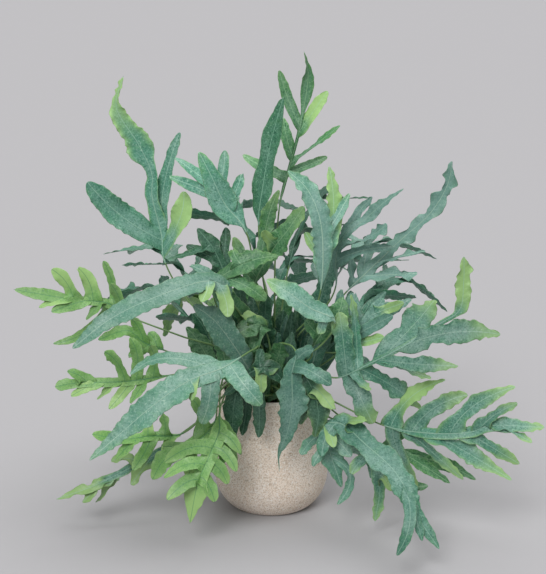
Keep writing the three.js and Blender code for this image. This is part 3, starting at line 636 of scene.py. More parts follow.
def makeStonewarePot(material):
    shoulder, top, lip = pot["bellyHeight"], pot["height"] - pot["lip"], pot["lip"]
    turn = np.linspace(0.02, np.pi / 2, pot["bellySections"])
    up = np.r_[shoulder * (1 - np.cos(turn)), np.linspace(shoulder, top, pot["wallSections"])[1:]]
    outer = np.stack([potRadius(up), up], -1)
    ring = pot["footRadius"] - pot["footRing"]
    foot = [[0, pot["recess"]], [ring, pot["recess"]], [ring + 1, 0], [pot["footRadius"] - 0.5, 0]]
    turn = np.linspace(0.2, np.pi - 0.2, pot["rimSections"])
    middle = pot["rimRadius"] - pot["wall"] / 2
    rim = np.stack([middle + pot["wall"] / 2 * np.cos(turn), top + lip * np.sin(turn)], 1)
    down = np.linspace(top, pot["bendHeight"], pot["innerSections"])
    inner = np.stack([potRadius(down) - pot["wall"], down], -1)
    floor = [*pot["innerBend"], [pot["floorRadius"], pot["floor"]], [0, pot["floor"]]]
    outline = np.vstack([foot, outer, rim, inner, floor])

    def dent(height, turn):  # thrown and cast ware is never quite even
        waves = waver(2 * turn, 0.05 * height) + waver(5 * turn + 0.08 * height, 1.0)
        return pot["unevenness"] * waves / 2

    makePiece("stonewarePot", [turned(outline, pot["around"], dent=dent)], [material], "stoneware_pot")


def makeNurseryPot(material):
    top = pot["floor"] + nurseryPot["height"]
    lip = top - nurseryPot["lipHeight"]
    wide, wall, foot = nurseryPot["topRadius"], nurseryPot["wall"], nurseryPot["footRadius"]
    corners = [
        [0, pot["floor"]], [foot, pot["floor"]], [wide, lip], [wide + nurseryPot["lip"], lip + 0.6],
        [wide + nurseryPot["lip"], top], [wide - wall, top], [wide - wall - 0.3, lip - 2],
        [foot - wall, pot["floor"] + wall], [0, pot["floor"] + wall],
    ]
    outline = roundedOutline(corners, nurseryPot["fillet"])
    makePiece("nurseryPot", [turned(outline, nurseryPot["around"])], [material], "nursery_pot")


def lumpsAt(x, y):  # gentle mounds and hollows of the soil's top
    return (np.sin(0.16 * x + 1.1) * np.sin(0.19 * y + 0.4) + 0.6 * np.sin(0.41 * x - 0.33 * y)
            + 0.4 * np.sin(0.9 * x + 0.2) * np.sin(0.8 * y + 1.9))


def makeSoil(material):
    # a disc of rings whose top follows the mounds, sunk at the wall, over a plain cone
    chance = np.random.default_rng(seed)
    bottom = pot["floor"] + nurseryPot["wall"]
    foot, wall = nurseryPot["footRadius"], nurseryPot["wall"]
    widen = (nurseryPot["topRadius"] - foot) / (nurseryPot["height"] - wall)

    def wallAt(z):
        return foot + widen * (z - bottom) - wall - 0.4

    edge = soil["top"] - 4
    turn = 2 * np.pi * np.arange(soil["around"]) / soil["around"]
    radii = np.r_[wallAt(bottom), wallAt(edge), np.linspace(wallAt(edge), 1.5, soil["rings"])[1:]]
    heights = np.r_[bottom, edge, np.full(soil["rings"] - 1, soil["top"] - 1.5)][:, None]
    x, y = radii[:, None] * np.cos(turn), radii[:, None] * np.sin(turn)
    inside = smooth((wallAt(edge) - radii) / soil["shoulder"])[:, None]
    z = heights - soil["sunk"] * (1 - inside) * (heights > edge) + inside * soil["lumps"] * lumpsAt(x, y)
    rings = np.stack([x, y, z], -1)
    blank = np.zeros(rings.shape)
    parts = [ringShell(rings, [0, 0, bottom], [0, 0, rings[-1, :, 2].mean()], blank, blank, 0)]

    # crumbs and bark chips: lumps of three rings of six points, pressed into the top
    around = np.arange(6) * np.pi / 3
    girth = np.array([[0.75], [1.0], [0.55]])
    level = np.repeat([[-0.6], [0.3], [0.8]], 6, 1)
    blank = np.zeros((3, 6, 3))
    for _ in range(soil["crumbs"]):
        r, angle = soil["crumbReach"] * math.sqrt(chance.random()), 2 * math.pi * chance.random()
        size = chance.uniform(*soil["crumbSize"]) * np.array(soil["crumbShape"])
        size = size * chance.uniform(0.7, 1.2, 3)
        spin = chance.uniform(0, 2 * math.pi)
        middle = np.array([r * math.cos(angle), r * math.sin(angle), soil["top"] - 0.6])
        wide = girth * chance.uniform(0.75, 1.2, (3, 6))
        x, y = wide * np.cos(around) * size[0], wide * np.sin(around) * size[1]
        c, d = math.cos(spin), math.sin(spin)
        crumb = middle + np.stack([x * c - y * d, x * d + y * c, level * size[2]], -1)
        parts.append(ringShell(crumb, middle - [0, 0, size[2]], middle + [0, 0, size[2]], blank, blank, 0))
    makePiece("soilAndBark", parts, [material], "soil")


def armAngle(arm):
    return 2 * math.pi * (arm + 0.5) / rootstock["arms"]


def makeRootstock(material):
    # creeping arms with a knobbly tapering tube each, and hairs combed towards their tips
    chance = np.random.default_rng(seed + 1)
    parts = []
    count = rootstock["hairs"] // rootstock["arms"]
    share = np.linspace(-0.12, 1, rootstock["rings"])
    for arm in range(rootstock["arms"]):
        turn = armAngle(arm)
        out = np.array([math.cos(turn), math.sin(turn), 0])
        side = np.array([-out[1], out[0], 0])
        bend = rootstock["bend"] * np.sin(5 * share + arm) * smooth(share * 3)
        size = rootstock["radius"] * (1 + 0.1 * waver(14 * share, arm))
        taper = mix(1, rootstock["tipRadius"], smooth((share - 0.4) / 0.5))
        size = size * np.sqrt(np.clip(1.02 - share**6, 0, 1)) * taper
        path = (share * rootstock["reach"])[:, None] * out + bend[:, None] * side
        path[:, 2] = soil["top"] + rootstock["raised"] * size
        up = np.tile([0.0, 0.0, 1.0], (len(share), 1))
        across = np.cross(up, unit(np.gradient(path, axis=0)))
        parts.append(tube(path, up, across, size, rootstock["sides"], 0, rootstock["lumps"]))

        # hairs: three-sided spikes that start on the skin and lie forwards
        at = chance.uniform(0.1, 1, count)
        turn = chance.uniform(-0.35, math.pi + 0.35, count)[:, None]
        place = np.stack([np.interp(at, share, path[:, k]) for k in range(3)], -1)
        away = np.cos(turn) * side + np.sin(turn) * np.array([0, 0, 1.0])
        foot = place + away * (0.9 * np.interp(at, share, size))[:, None]
        length = chance.uniform(*rootstock["hairLength"], count)[:, None]
        comb = unit(0.9 * away + 0.75 * out + chance.normal(0, rootstock["hairSpread"], (count, 3)))
        across = unit(np.cross(comb, out + 0.3 * side)) * rootstock["hairHalf"]
        over = 0.87 * np.cross(comb, across)
        back = foot - 0.5 * across
        corners = [foot + across, back + over, back - over, foot + comb * length]
        faces = np.array([[0, 1, 3], [1, 2, 3], [2, 0, 3], [0, 2, 1]])
        ends = np.tile([0.3, 0.3, 0.3, 1.0], count)
        parts.append({"points": np.stack(corners, 1).reshape(-1, 3), "quads": np.zeros((0, 4), int),
                      "triangles": (4 * np.arange(count)[:, None, None] + faces).reshape(-1, 3),
                      "place": np.stack([ends, 0 * ends, 0 * ends], -1), "span": np.zeros((4 * count, 3)),
                      "finish": 0})
    makePiece("furryRootstock", parts, [material], "rootstock")


plant = {
    "uprightHeight": 7,  # a stalk stands upright to this height above the soil
    "stalkFoot": 1.7,
    "stalkTop": 1.15,
    "facing": (0.3, 0.55, 0.62),  # how far a blade faces outwards, to the viewer and upwards
    "spread": 0.16,
    "bendStep": 9,  # lobes bend, stalks bow and fronds move in these steps, at most so many
    "bendsMost": 7,
    "bowStep": 5,
    "bowsMost": 5,
    "riseStep": 7,
    "risesMost": 5,
    "bendMiddle": 0.4,  # how much of its tip's bend the middle of a lobe takes
    "branchHeight": 2,
    "near": 0.5,  # a lobe's tip lies so near the solid that it belongs to
    "towards": np.array([0, -0.966, 0.259]),  # the viewer
}
leaner = {
    "shortReach": 140,
    "shortStart": (0.62, 0.25, 0),  # where the blade begins: outwards, upwards and how much higher
    "longStart": (0.42, 0.45, 45),
    "stalkPlaces": ((0.4, 0.45), (0.75, 0.8)),
    "winding": 0.06,
    "lobesFrom": 0.06,
    "lobesOver": 0.6,
    "lobeWidth": (19, 4),  # the least, and what is added by turns
    "lobeLean": (0.86, 0.5),  # sideways and ahead
    "endWidth": 27,
    "endStart": 0.66,
    "tuftArch": 10,
    "facing": (0.55, 0.83),  # outwards and upwards
}


def frond(name, tone, endWidth, endStart, stalk, midrib, lobes):
    # the width of the end lobe and where along the blade it begins, the stalk's points above the
    # soil, the midrib's points, and the side lobes, each with its place along the midrib, its width
    # and its tip, or a point on the way and its tip; points are runs of x, y and z
    stalk, midrib = (np.reshape(np.array(points, float), (-1, 3)) for points in (stalk, midrib))
    lobes = [(share, width, np.reshape(way, (-1, 3))) for share, width, *way in lobes]
    x, y, _ = midrib[0]
    outward, frontward, upward = plant["facing"]
    out = outward / math.hypot(x, y)
    return {"name": name, "tone": tone, "endWidth": endWidth, "endStart": endStart, "stalk": stalk,
            "midrib": midrib, "lobes": lobes, "depth": rootstock["rootDepth"],
            "face": np.array([x * out, y * out - frontward, upward])}


def leaning(name, tone, angle, reach, tipHeight, arch, pairs, longest):
    # a frond by rule: the compass angle it leans to (90 is away from the viewer), the reach and
    # height of its tip, the arch of its midrib, the pairs of side lobes and the longest one's length;
    # the lobes grow by turns to both sides, longest before the middle, and hang a little
    turn = math.radians(angle)
    out = np.array([math.cos(turn), math.sin(turn), 0])
    side = np.array([-out[1], out[0], 0])
    short = reach < leaner["shortReach"]
    outward, upward, higher = leaner["shortStart" if short else "longStart"]
    baseReach = outward * reach
    baseHeight = mix(soil["top"], tipHeight, upward) + higher

    def at(share):
        wind = side * leaner["winding"] * reach * math.sin(3 * share + angle)
        point = out * mix(baseReach, reach, share) + wind
        point[2] = mix(baseHeight, tipHeight, share) + 4 * arch * share * (1 - share)
        return point

    bottom = at(0)
    stalk = [[bottom[0] * near, bottom[1] * near, soil["top"] + (bottom[2] - soil["top"]) * high + 4]
             for near, high in leaner["stalkPlaces"]]
    lobes = []
    aside, onward = leaner["lobeLean"]
    least, wider = leaner["lobeWidth"]
    for i in range(2 * pairs):
        share = leaner["lobesFrom"] + leaner["lobesOver"] * i / (2 * pairs - 1)
        hand = -1 if i % 2 else 1
        ahead = unit(at(share + 0.05) - at(share))
        length = longest * (0.72 + 0.28 * math.sin(2.5 * share + 0.6)) * (1 if i % 3 else 0.85)
        tip = at(share) + side * hand * aside * length + ahead * onward * length
        tip[2] -= (0.1 + 0.05 * (i % 4)) * length
        lobes.append([share, least + wider * (i % 3), *tip])
    midrib = [at(share) for share in (0, 0.25, 0.5, 0.75, 1)]
    plan = frond(name, tone, leaner["endWidth"], leaner["endStart"] if pairs else 0, stalk, midrib, lobes)
    if not short:
        outward, upward = leaner["facing"]
        plan["face"] = out * outward + np.array([0, 0, upward])
    return plan


def tuft(name, tone, angle, leaves):
    # undivided leaves from one place, each with its turn, reach and height; all but the first
    # branch off just above the soil
    arch = leaner["tuftArch"]
    plans = [leaning(name, tone, angle + turn, reach, height, arch, 0, 0) for turn, reach, height in leaves]
    for plan in plans[1:]:
        plan["depth"] = -plant["branchHeight"]
    return plans


fronds = [
    frond("upper_left", "blue", 35, 0.1, [-50, 0, 205, -105, 10, 265], [-130, 10, 310, -135, 20, 345,
        -145, 20, 390, -145, 20, 420, -160, 20, 455, -185, 15, 500, -175, 5, 540],
        [[0.13, 40, -180, 0, 370, -220, -10, 415], [0.17, 21, -130, 30, 405, -110, 40, 465],
        [0.21, 16, -150, 35, 375], [0.07, 30, -110, -10, 370, -105, -15, 405]]),
    frond("upper_mid", "blue", 35, 0.05, [-10, -10, 215, -20, -10, 300], [-30, -15, 355, -55, -20, 390,
        -70, -30, 425, -85, -30, 455], [[0.5, 20, -115, -15, 445], [0.41, 17, -120, -30, 425],
        [0.49, 17, -55, -10, 455], [0.3, 17, -35, -5, 425]]),
    frond("dark_tall", "dark", 35, 0, [0, 0, 215, -10, 0, 295], [-15, 0, 360, -10, 0, 405, 0, 5, 460,
        15, 5, 515], []),
    frond("top", "green", 20, 0.65, [5, 10, 215, 5, 30, 305], [10, 40, 370, 15, 45, 395, 25, 50, 430,
        35, 50, 470, 45, 50, 530, 40, 40, 565], [[0.61, 17, 10, 60, 540], [0.58, 20, 70, 40, 520],
        [0.43, 18, 15, 70, 480], [0.38, 21, 85, 40, 475], [0.32, 16, 70, 55, 435],
        [0.29, 18, -35, 65, 435]]),
    frond("centre_right_tall", "pale", 32, 0, [15, -10, 205, 45, -30, 250], [60, -40, 290, 60, -50, 365,
        45, -50, 410, 20, -45, 435], [[0.21, 30, 75, -20, 375, 70, -10, 435], [0.28, 16, 95, -5, 400],
        [0.17, 17, 40, -35, 360]]),
    frond("right_twist", "blue", 16, 0.4, [25, 0, 205, 65, 10, 250], [80, 10, 280, 80, 15, 315, 90, 10, 345,
        115, 10, 365, 135, 5, 385, 160, 0, 405], [[0.44, 15, 125, 25, 390],
        [0.29, 27, 115, -10, 345, 140, -15, 365], [0.17, 17, 110, 10, 325, 150, 10, 330]]),
    frond("right_wavy", "pale", 24, 0.3, [30, 10, 200, 65, 20, 235], [95, 25, 270, 115, 25, 290,
        140, 25, 315, 160, 25, 335, 195, 20, 370, 215, 20, 405, 220, 20, 435], [[0.27, 17, 190, 10, 325],
        [0.16, 21, 180, 15, 295], [0.07, 18, 100, 40, 320], [0.17, 18, 130, 45, 340]]),
    frond("right_mid", "blue", 22, 0.7, [25, -40, 190, 55, -70, 195], [80, -90, 195, 115, -100, 215,
        155, -110, 240, 195, -105, 265, 220, -95, 280, 225, -85, 310, 225, -80, 340],
        [[0.05, 31, 85, -90, 240, 80, -80, 275], [0.11, 18, 100, -75, 250, 95, -60, 290],
        [0.23, 40, 170, -85, 260, 195, -70, 285], [0.34, 31, 210, -120, 260, 265, -130, 260],
        [0.21, 21, 170, -130, 225, 215, -135, 225], [0.23, 18, 185, -140, 210],
        [0.07, 33, 105, -120, 180, 120, -130, 150], [0.08, 18, 115, -135, 195],
        [0.12, 28, 145, -95, 185, 180, -90, 155]]),
    frond("right_inner", "blue", 20, 0.7, [20, -20, 195, 55, -40, 210], [90, -50, 215, 105, -55, 240,
        120, -50, 260, 135, -45, 280], [[0.3, 21, 145, -65, 265], [0.41, 20, 100, -35, 285],
        [0.14, 20, 135, -75, 240], [0.67, 18, 160, -45, 275], [0.04, 17, 85, -40, 290]]),
    frond("right_fan", "blue", 26, 0.3, [35, -20, 170, 65, -35, 195], [85, -45, 215, 100, -40, 235,
        130, -35, 255, 170, -30, 275], [[0.2, 17, 145, -60, 260], [0.35, 18, 100, -20, 280],
        [0.5, 17, 140, -15, 280], [0.15, 18, 125, -60, 195], [0.12, 17, 80, -30, 250]]),
    frond("right_low", "blue", 21, 0.75, [20, -50, 180, 75, -90, 165], [135, -105, 140, 185, -130, 140,
        230, -140, 145, 255, -145, 155, 315, -150, 155], [[0.03, 22, 205, -110, 200],
        [0.15, 26, 230, -125, 185], [0.37, 22, 280, -135, 200], [0.63, 17, 285, -150, 185],
        [0.04, 21, 175, -120, 65], [0.12, 22, 225, -135, 85], [0.26, 26, 280, -150, 90],
        [0.49, 20, 290, -155, 110], [0.8, 17, 300, -160, 140]]),
    frond("right_low_back", "green", 18, 0.5, [25, -40, 180, 75, -70, 150], [120, -80, 110, 165, -90, 95,
        215, -100, 65], [[0.21, 20, 155, -90, 65, 190, -100, 60], [0.38, 18, 205, -85, 85, 245, -100, 70],
        [0.09, 20, 130, -85, 75], [0.21, 20, 170, -80, 125]]),
    frond("right_bottom", "blue", 35, 0, [15, -50, 190, 40, -85, 165], [60, -100, 145, 85, -115, 145,
        110, -140, 130, 135, -165, 115, 150, -185, 100, 165, -205, 70, 190, -220, 35],
        [[0.71, 18, 155, -230, 70, 140, -240, 35], [0.78, 16, 170, -220, 45], [0.07, 18, 75, -125, 120],
        [0.12, 22, 60, -130, 110], [0.17, 22, 110, -130, 155]]),
    frond("right_hanging", "blue", 22, 0, [25, -45, 175, 70, -85, 150], [105, -100, 130, 125, -110, 95,
        130, -110, 60, 125, -110, 20], [[0.25, 20, 95, -120, 85], [0.48, 18, 145, -115, 60]]),
    frond("right_rim", "pale", 28, 0, [10, -55, 175, 40, -85, 160], [60, -90, 135, 70, -100, 105,
        85, -100, 60], [[0.2, 20, 35, -110, 105], [0.45, 17, 50, -110, 90],
        [0.59, 16, 95, -105, 75, 80, -110, 40], [0.42, 18, 110, -90, 100, 120, -95, 70],
        [0.24, 26, 95, -115, 105]]),
    frond("front_pot", "blue", 35, 0, [5, -45, 215, 20, -70, 230], [30, -90, 225, 25, -105, 205,
        25, -110, 170, 20, -110, 135, 10, -105, 105, 10, -100, 80],
        [[0.14, 25, 45, -125, 215, 70, -130, 200], [0.09, 20, 50, -115, 235]]),
    frond("front_left_big", "pale", 35, 0.2, [-10, -60, 220, -20, -90, 230], [-35, -120, 230,
        -55, -145, 225, -95, -165, 215, -135, -180, 190, -170, -185, 160, -205, -190, 130],
        [[0.24, 21, -120, -140, 235, -160, -155, 220], [0.28, 28, -70, -170, 195, -80, -170, 165],
        [0.38, 17, -90, -175, 195], [0.14, 30, -30, -160, 210, -10, -160, 185]]),
    frond("left_pale", "pale", 32, 0.25, [-20, -20, 205, -30, -50, 250], [-45, -70, 280, -55, -85, 305,
        -80, -100, 315, -140, -125, 300, -185, -140, 280, -225, -150, 250], [[0.28, 23, -50, -110, 275],
        [0.36, 20, -80, -120, 295], [0.26, 17, -95, -80, 330]]),
    frond("left_young", "young", 18, 0.7, [-40, -10, 195, -110, -35, 230], [-165, -45, 255, -195, -50, 275,
        -225, -55, 280, -250, -60, 285, -305, -60, 295], [[0.61, 22, -260, -60, 320],
        [0.39, 21, -230, -50, 320], [0.19, 17, -200, -40, 325], [0.11, 17, -190, -70, 305],
        [0.73, 21, -275, -70, 275], [0.46, 20, -260, -70, 270], [0.32, 21, -220, -70, 260],
        [0.23, 15, -225, -35, 235, -265, -35, 220]]),
    frond("left_second", "young", 19, 0.6, [-35, -10, 185, -85, -20, 190], [-130, -30, 210, -155, -30, 220,
        -175, -30, 235, -210, -35, 225], [[0.1, 20, -150, -20, 230], [0.34, 18, -170, -25, 250],
        [0.24, 18, -175, -40, 205]]),
    frond("left_mid", "young", 19, 0.75, [-35, -25, 190, -75, -40, 190], [-120, -50, 185, -175, -60, 180,
        -230, -65, 180, -260, -65, 175], [[0.61, 17, -245, -65, 195], [0.34, 20, -200, -65, 220],
        [0.26, 20, -170, -60, 235], [0.14, 20, -145, -60, 225], [0.53, 17, -240, -70, 165],
        [0.41, 18, -210, -70, 160], [0.3, 18, -195, -75, 150], [0.2, 18, -170, -70, 155]]),
    frond("left_low", "young", 18, 0.7, [-30, -50, 185, -70, -80, 155], [-105, -90, 125, -145, -100, 125,
        -175, -110, 125, -210, -120, 135], [[0.18, 18, -130, -90, 150], [0.35, 17, -150, -100, 145],
        [0.53, 18, -185, -115, 100], [0.31, 20, -165, -110, 85], [0.12, 20, -130, -110, 105]]),
    frond("left_bottom", "blue", 16, 0.6, [-25, -50, 175, -70, -65, 145], [-115, -65, 110, -140, -70, 90,
        -170, -75, 75, -215, -85, 55, -260, -90, 40], [[0.65, 15, -230, -90, 35], [0.57, 15, -215, -80, 30],
        [0.3, 17, -170, -80, 55], [0.42, 16, -195, -65, 80], [0.14, 18, -135, -85, 70]]),
    frond("front_left_bright", "young", 29, 0.7, [-30, -75, 205, -55, -120, 205], [-60, -130, 165,
        -60, -135, 145, -70, -140, 120, -85, -150, 85, -95, -150, 35], [[0.58, 22, -50, -155, 85],
        [0.7, 21, -65, -160, 65], [0.72, 21, -120, -160, 70], [0.61, 21, -125, -160, 95],
        [0.46, 22, -125, -150, 110], [0.28, 18, -35, -145, 120], [0.44, 17, -40, -150, 100]]),
    frond("rim_dark", "dark", 26, 0.1, [-10, -50, 190, -15, -75, 195], [-25, -90, 190, -40, -100, 180,
        -45, -100, 150, -45, -95, 115], [[0.19, 20, -35, -90, 120],
        [0.04, 23, -15, -95, 170, -15, -90, 120], [0.14, 18, -55, -110, 180]]),
    frond("left_third", "young", 27, 0.6, [-35, -60, 175, -50, -85, 170], [-65, -110, 150, -75, -115, 135,
        -95, -120, 120, -125, -125, 105, -140, -125, 80], [[0.3, 20, -95, -105, 175],
        [0.25, 18, -65, -130, 120], [0.6, 19, -130, -110, 115], [0.5, 20, -100, -130, 75]]),
    frond("front_left_small", "young", 14, 0.3, [-45, -75, 180, -55, -100, 175], [-60, -120, 160,
        -55, -120, 140, -55, -125, 115, -60, -125, 95], [[0.25, 14, -35, -110, 105],
        [0.5, 12, -40, -110, 90], [0.2, 14, -70, -120, 130]]),
    frond("centre_left_big", "pale", 37, 0, [-5, -60, 190, -10, -85, 185], [-25, -100, 205, -40, -110, 235,
        -65, -110, 270, -90, -110, 290], []),
    frond("centre_blade", "green", 27, 0.3, [-20, -5, 195, -55, -35, 245], [-70, -50, 290, -65, -60, 305,
        -40, -70, 325, -15, -70, 335, 10, -75, 340], [[0.33, 27, -30, -80, 305, -5, -75, 285],
        [0.15, 30, -40, -90, 280, -25, -95, 255], [0.55, 18, -45, -60, 345]]),
    frond("centre_light_tip", "pale", 32, 0, [25, -50, 200, 60, -80, 230], [75, -95, 265, 45, -105, 285,
        20, -110, 305, -5, -110, 320], [[0.18, 18, 55, -110, 255]]),
    frond("top_centre", "green", 30, 0.1, [-5, 0, 200, -15, -20, 250], [-20, -30, 290, 0, -40, 335,
        20, -50, 365, 40, -50, 395], [[0.17, 21, -5, -15, 365, 10, -10, 405], [0.09, 18, -45, -20, 350],
        [0.43, 17, -10, -55, 365]]),
    frond("upper_left_dark", "dark", 22, 0.3, [-15, 5, 195, -40, 5, 250], [-55, 0, 295, -70, 0, 330,
        -90, 5, 355], [[0.59, 16, -125, -10, 320], [0.28, 18, -105, 20, 330], [0.21, 18, -55, 10, 355]]),
    frond("rim_right", "dark", 29, 0, [15, -45, 180, 28, -62, 195], [40, -74, 195, 50, -84, 178,
        56, -88, 150, 52, -90, 122], [[0.35, 21, 35, -94, 138], [0.25, 22, 74, -98, 158]]),
    frond("centre_low", "dark", 22, 0, [-10, -50, 160, -25, -60, 170], [-30, -70, 190, -10, -80, 205,
        5, -80, 200, 20, -80, 180], [[0.4, 20, -10, -85, 175], [0.3, 16, -10, -70, 225]]),
    frond("centre_fold", "green", 28, 0, [0, -20, 170, 0, -50, 210], [-5, -60, 240, -15, -70, 255,
        -30, -75, 250, -45, -80, 240], [[0.3, 22, -25, -75, 220], [0.35, 18, -35, -60, 265]]),
    frond("centre_right_low", "green", 28, 0.1, [15, -45, 185, 35, -70, 210], [50, -80, 230, 65, -85, 255,
        80, -85, 275, 85, -75, 290], [[0.19, 22, 40, -95, 270], [0.47, 20, 105, -90, 265]]),
    *tuft("tuft_front_left", "green", 225, [[0, 105, 270], [-36, 105, 235]]),
    *tuft("tuft_front_right", "blue", 318, [[0, 105, 280], [30, 80, 215]]),
    *tuft("tuft_front", "dark", 262, [[0, 62, 290], [-38, 58, 310]]),
    *tuft("tuft_back_left", "dark", 140, [[0, 100, 310], [40, 95, 250]]),
    *tuft("tuft_back_right", "blue", 40, [[0, 100, 320], [-40, 95, 250]]),
    *tuft("tuft_back", "green", 75, [[0, 90, 260], [36, 85, 300]]),
    leaning("inner_right", "dark", 335, 95, 265, 8, 1, 60),
    leaning("inner_front", "green", 275, 85, 235, 8, 1, 50),
    leaning("back_right_low", "blue", 18, 235, 235, 45, 2, 85),
    leaning("back_right", "pale", 40, 225, 300, 35, 2, 85),
    leaning("back_tall", "dark", 64, 170, 385, 15, 2, 80),
    leaning("back_middle", "blue", 84, 245, 230, 50, 3, 85),
    leaning("back_left_tall", "blue", 106, 175, 365, 20, 2, 80),
    leaning("back_left_down", "young", 125, 240, 160, 60, 2, 80),
    leaning("back_left", "pale", 145, 230, 290, 40, 3, 80),
    leaning("back_left_low", "blue", 163, 235, 230, 45, 2, 85),
]

usual = {
    "look": (0.12, 0.08, 1, 1, 0),
    "newFresh": (1, 0.6),  # fresh growth of new lobes, which are some of those that are short
    "newLength": 48,
    "oldShare": 0.7,
}
# Looks of single fronds: the fresh yellow-green growth of their ends and of their edges, how light
# they are and how wavy next to the others, and how much silvery bloom lies all over them. How light
# a frond is comes partly from its own tone and partly from painted light and shade: fronds at the
# top are painted lighter, and those deep inside the plant and low down darker
ownLooks = {
    "upper_left": (0.15, 0.25, 1.24, 0.5, 0.1), "upper_mid": (0.35, 0.2, 1.4, 0.45, 0.1),
    "dark_tall": (0.12, 0.08, 1.5, 0.25, 0.04), "top": (0.35, 0.25, 1.25, 0.6, 0.12),
    "centre_right_tall": (0.6, 0.25, 1.2, 1.2, 0.35), "right_twist": (0.12, 0.08, 0.86, 1.4, 0.5),
    "right_wavy": (0.12, 0.08, 0.9, 2.3, 0.5), "right_mid": (0.75, 0.2, 0.92, 1.3, 0),
    "right_inner": (0.12, 0.08, 1, 1, 0.3), "right_fan": (0.12, 0.08, 1, 1, 0.3),
    "right_low": (0.7, 0.5, 1, 1.1, 0), "right_bottom": (0.3, 0.1, 0.97, 0.75, 0.16),
    "right_hanging": (0.5, 0.45, 1, 1, 0), "right_rim": (0.3, 0.35, 1, 1, 0.2),
    "front_pot": (0.12, 0.08, 0.84, 1.3, 0.15), "front_left_big": (0.25, 0.12, 0.88, 0.8, 0),
    "left_pale": (0.12, 0.08, 0.88, 0.7, 0), "left_young": (0.3, 0.2, 1, 0.6, 0),
    "left_second": (0.12, 0.08, 1, 0.8, 0), "left_mid": (0.3, 0.2, 1, 0.8, 0),
    "left_low": (0.35, 0.3, 1, 0.7, 0), "left_bottom": (1, 0.6, 0.8, 2.2, 0),
    "front_left_bright": (0.6, 0.25, 1, 0.6, 0), "rim_dark": (0.12, 0.08, 0.9, 1, 0),
    "left_third": (0.5, 0.3, 1, 1, 0), "centre_left_big": (0.12, 0.08, 0.56, 1, 0),
    "centre_blade": (0.35, 0.2, 1, 1, 0), "centre_light_tip": (0.75, 0.25, 1, 0.7, 0.15),
    "top_centre": (0.5, 0.2, 0.9, 1, 0), "rim_right": (0.3, 0.35, 0.85, 1, 0),
    "centre_low": (0.12, 0.08, 0.8, 1, 0), "centre_fold": (0.12, 0.08, 0.8, 1, 0),
    "tuft_front_left": (0.12, 0.08, 0.8, 1, 0), "tuft_front_right": (0.12, 0.08, 0.8, 1, 0),
    "tuft_front": (0.12, 0.08, 0.8, 1, 0), "inner_right": (0.12, 0.08, 0.8, 1, 0),
    "inner_front": (0.12, 0.08, 0.8, 1, 0), "back_right": (0.12, 0.08, 1, 1, 0.3),
    "back_tall": (0.12, 0.08, 1, 1, 0.15),
}
# Fronds whose side lobe of this number is fresh from end to end
freshLobes = {("upper_left", 3), ("centre_right_tall", 0), ("right_low", 0), ("top", 1)}
# Shapes of single fronds: where along the midrib the end lobe begins, how blunt it ends or how far it
# is drawn out to a point, how far its last part is ruffled, how fresh it is, its width from root to
# tip next to the others, and how wide the web along the midrib is
ownShapes = {
    "upper_left": {"blunt": 16, "ruffled": 1.6, "fresh": (0.9, 0.6),
                   "widths": (0.7, 0.7, 0.66, 0.5, 0.5, 1.05, 0.72, 0.52, 0.6)},
    "upper_mid": {"widths": (1.4, 1.1, 0.9, 0.75, 0.7)},
    "dark_tall": {"blunt": 7, "widths": (1.1, 0.85, 0.76, 0.85, 1.05)},
    "top": {"web": 0.3, "widths": (0.9, 0.8, 0.7)},
    "right_twist": {"pointed": 0.3},
    "right_wavy": {"blunt": 8, "widths": (0.95, 0.85, 0.75, 0.8, 0.9, 1.0)},
    "right_mid": {"web": 0.4, "blunt": 6, "start": 0.58, "ruffled": 0.7, "fresh": (1, 0.6),
                  "widths": (0.5, 0.8, 1.1, 1.05, 0.8)},
    "right_bottom": {"widths": (1, 1, 1, 0.92, 0.85)},
    "left_bottom": {"pointed": 0.5},
    "front_left_big": {"widths": (1, 1.1, 1.1, 0.85, 0.62)},
    "front_pot": {"widths": (1, 1, 1, 1.05, 0.8, 0.3, 0.12, 0.14)},
    "front_left_bright": {"fresh": (1, 0.6), "widths": (1, 1.12, 0.95, 0.62, 0.4)},
}


def solidPoints(node):
    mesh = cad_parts[node].data
    points = np.empty(3 * len(mesh.vertices))
    mesh.vertices.foreach_get("co", points)
    return points.reshape(-1, 3) / mm


def gap(points, spot):  # distance from a spot to the nearest of the points
    return np.linalg.norm(points - spot, axis=1).min()


def rootPlaces():
    # beside both flanks of each arm of the rootstock
    spots = []
    for arm in range(rootstock["arms"]):
        out = np.array([math.cos(armAngle(arm)), math.sin(armAngle(arm)), 0])
        side = np.array([-out[1], out[0], 0])
        for hand in (-1, 1):
            for step in range(rootstock["placesPerSide"]):
                along = rootstock["firstPlace"] + step * rootstock["placeStep"]
                spots.append(out * along + side * hand * rootstock["placeAside"])
    return np.array(spots)


def nearest(steps, far):  # the whole number of steps, either way, that is the least far
    return min(range(-steps, steps + 1), key=far)


def routeOf(plan, spot, forward):
    # up from the rootstock, along the stalk and on along the midrib; foot is where the midrib begins
    stand = [[*spot[:2], soil["top"] + high] for high in (-plan["depth"], plant["uprightHeight"])]
    shares = (np.arange(len(plan["stalk"])) + 1) / (len(plan["stalk"]) + 1)
    route = np.vstack([stand, plan["stalk"] + forward * shares[:, None], plan["midrib"] + forward])
    return route, (len(route) - len(plan["midrib"])) / (len(route) - 1)


def rootOf(route, foot, share):  # where a lobe starts on the midrib, and the midrib's direction there
    start, run = splineAt(route, np.array([mix(foot, 1, share)]))
    return start[0], run[0]


def lobeBy(index, width, start, run, over, tip, long):  # a lobe that passes a point on its way
    return {"index": index, "width": width, "start": start, "run": run, "tip": tip, "long": long,
            "pull": 2 * over - (start + tip) / 2}


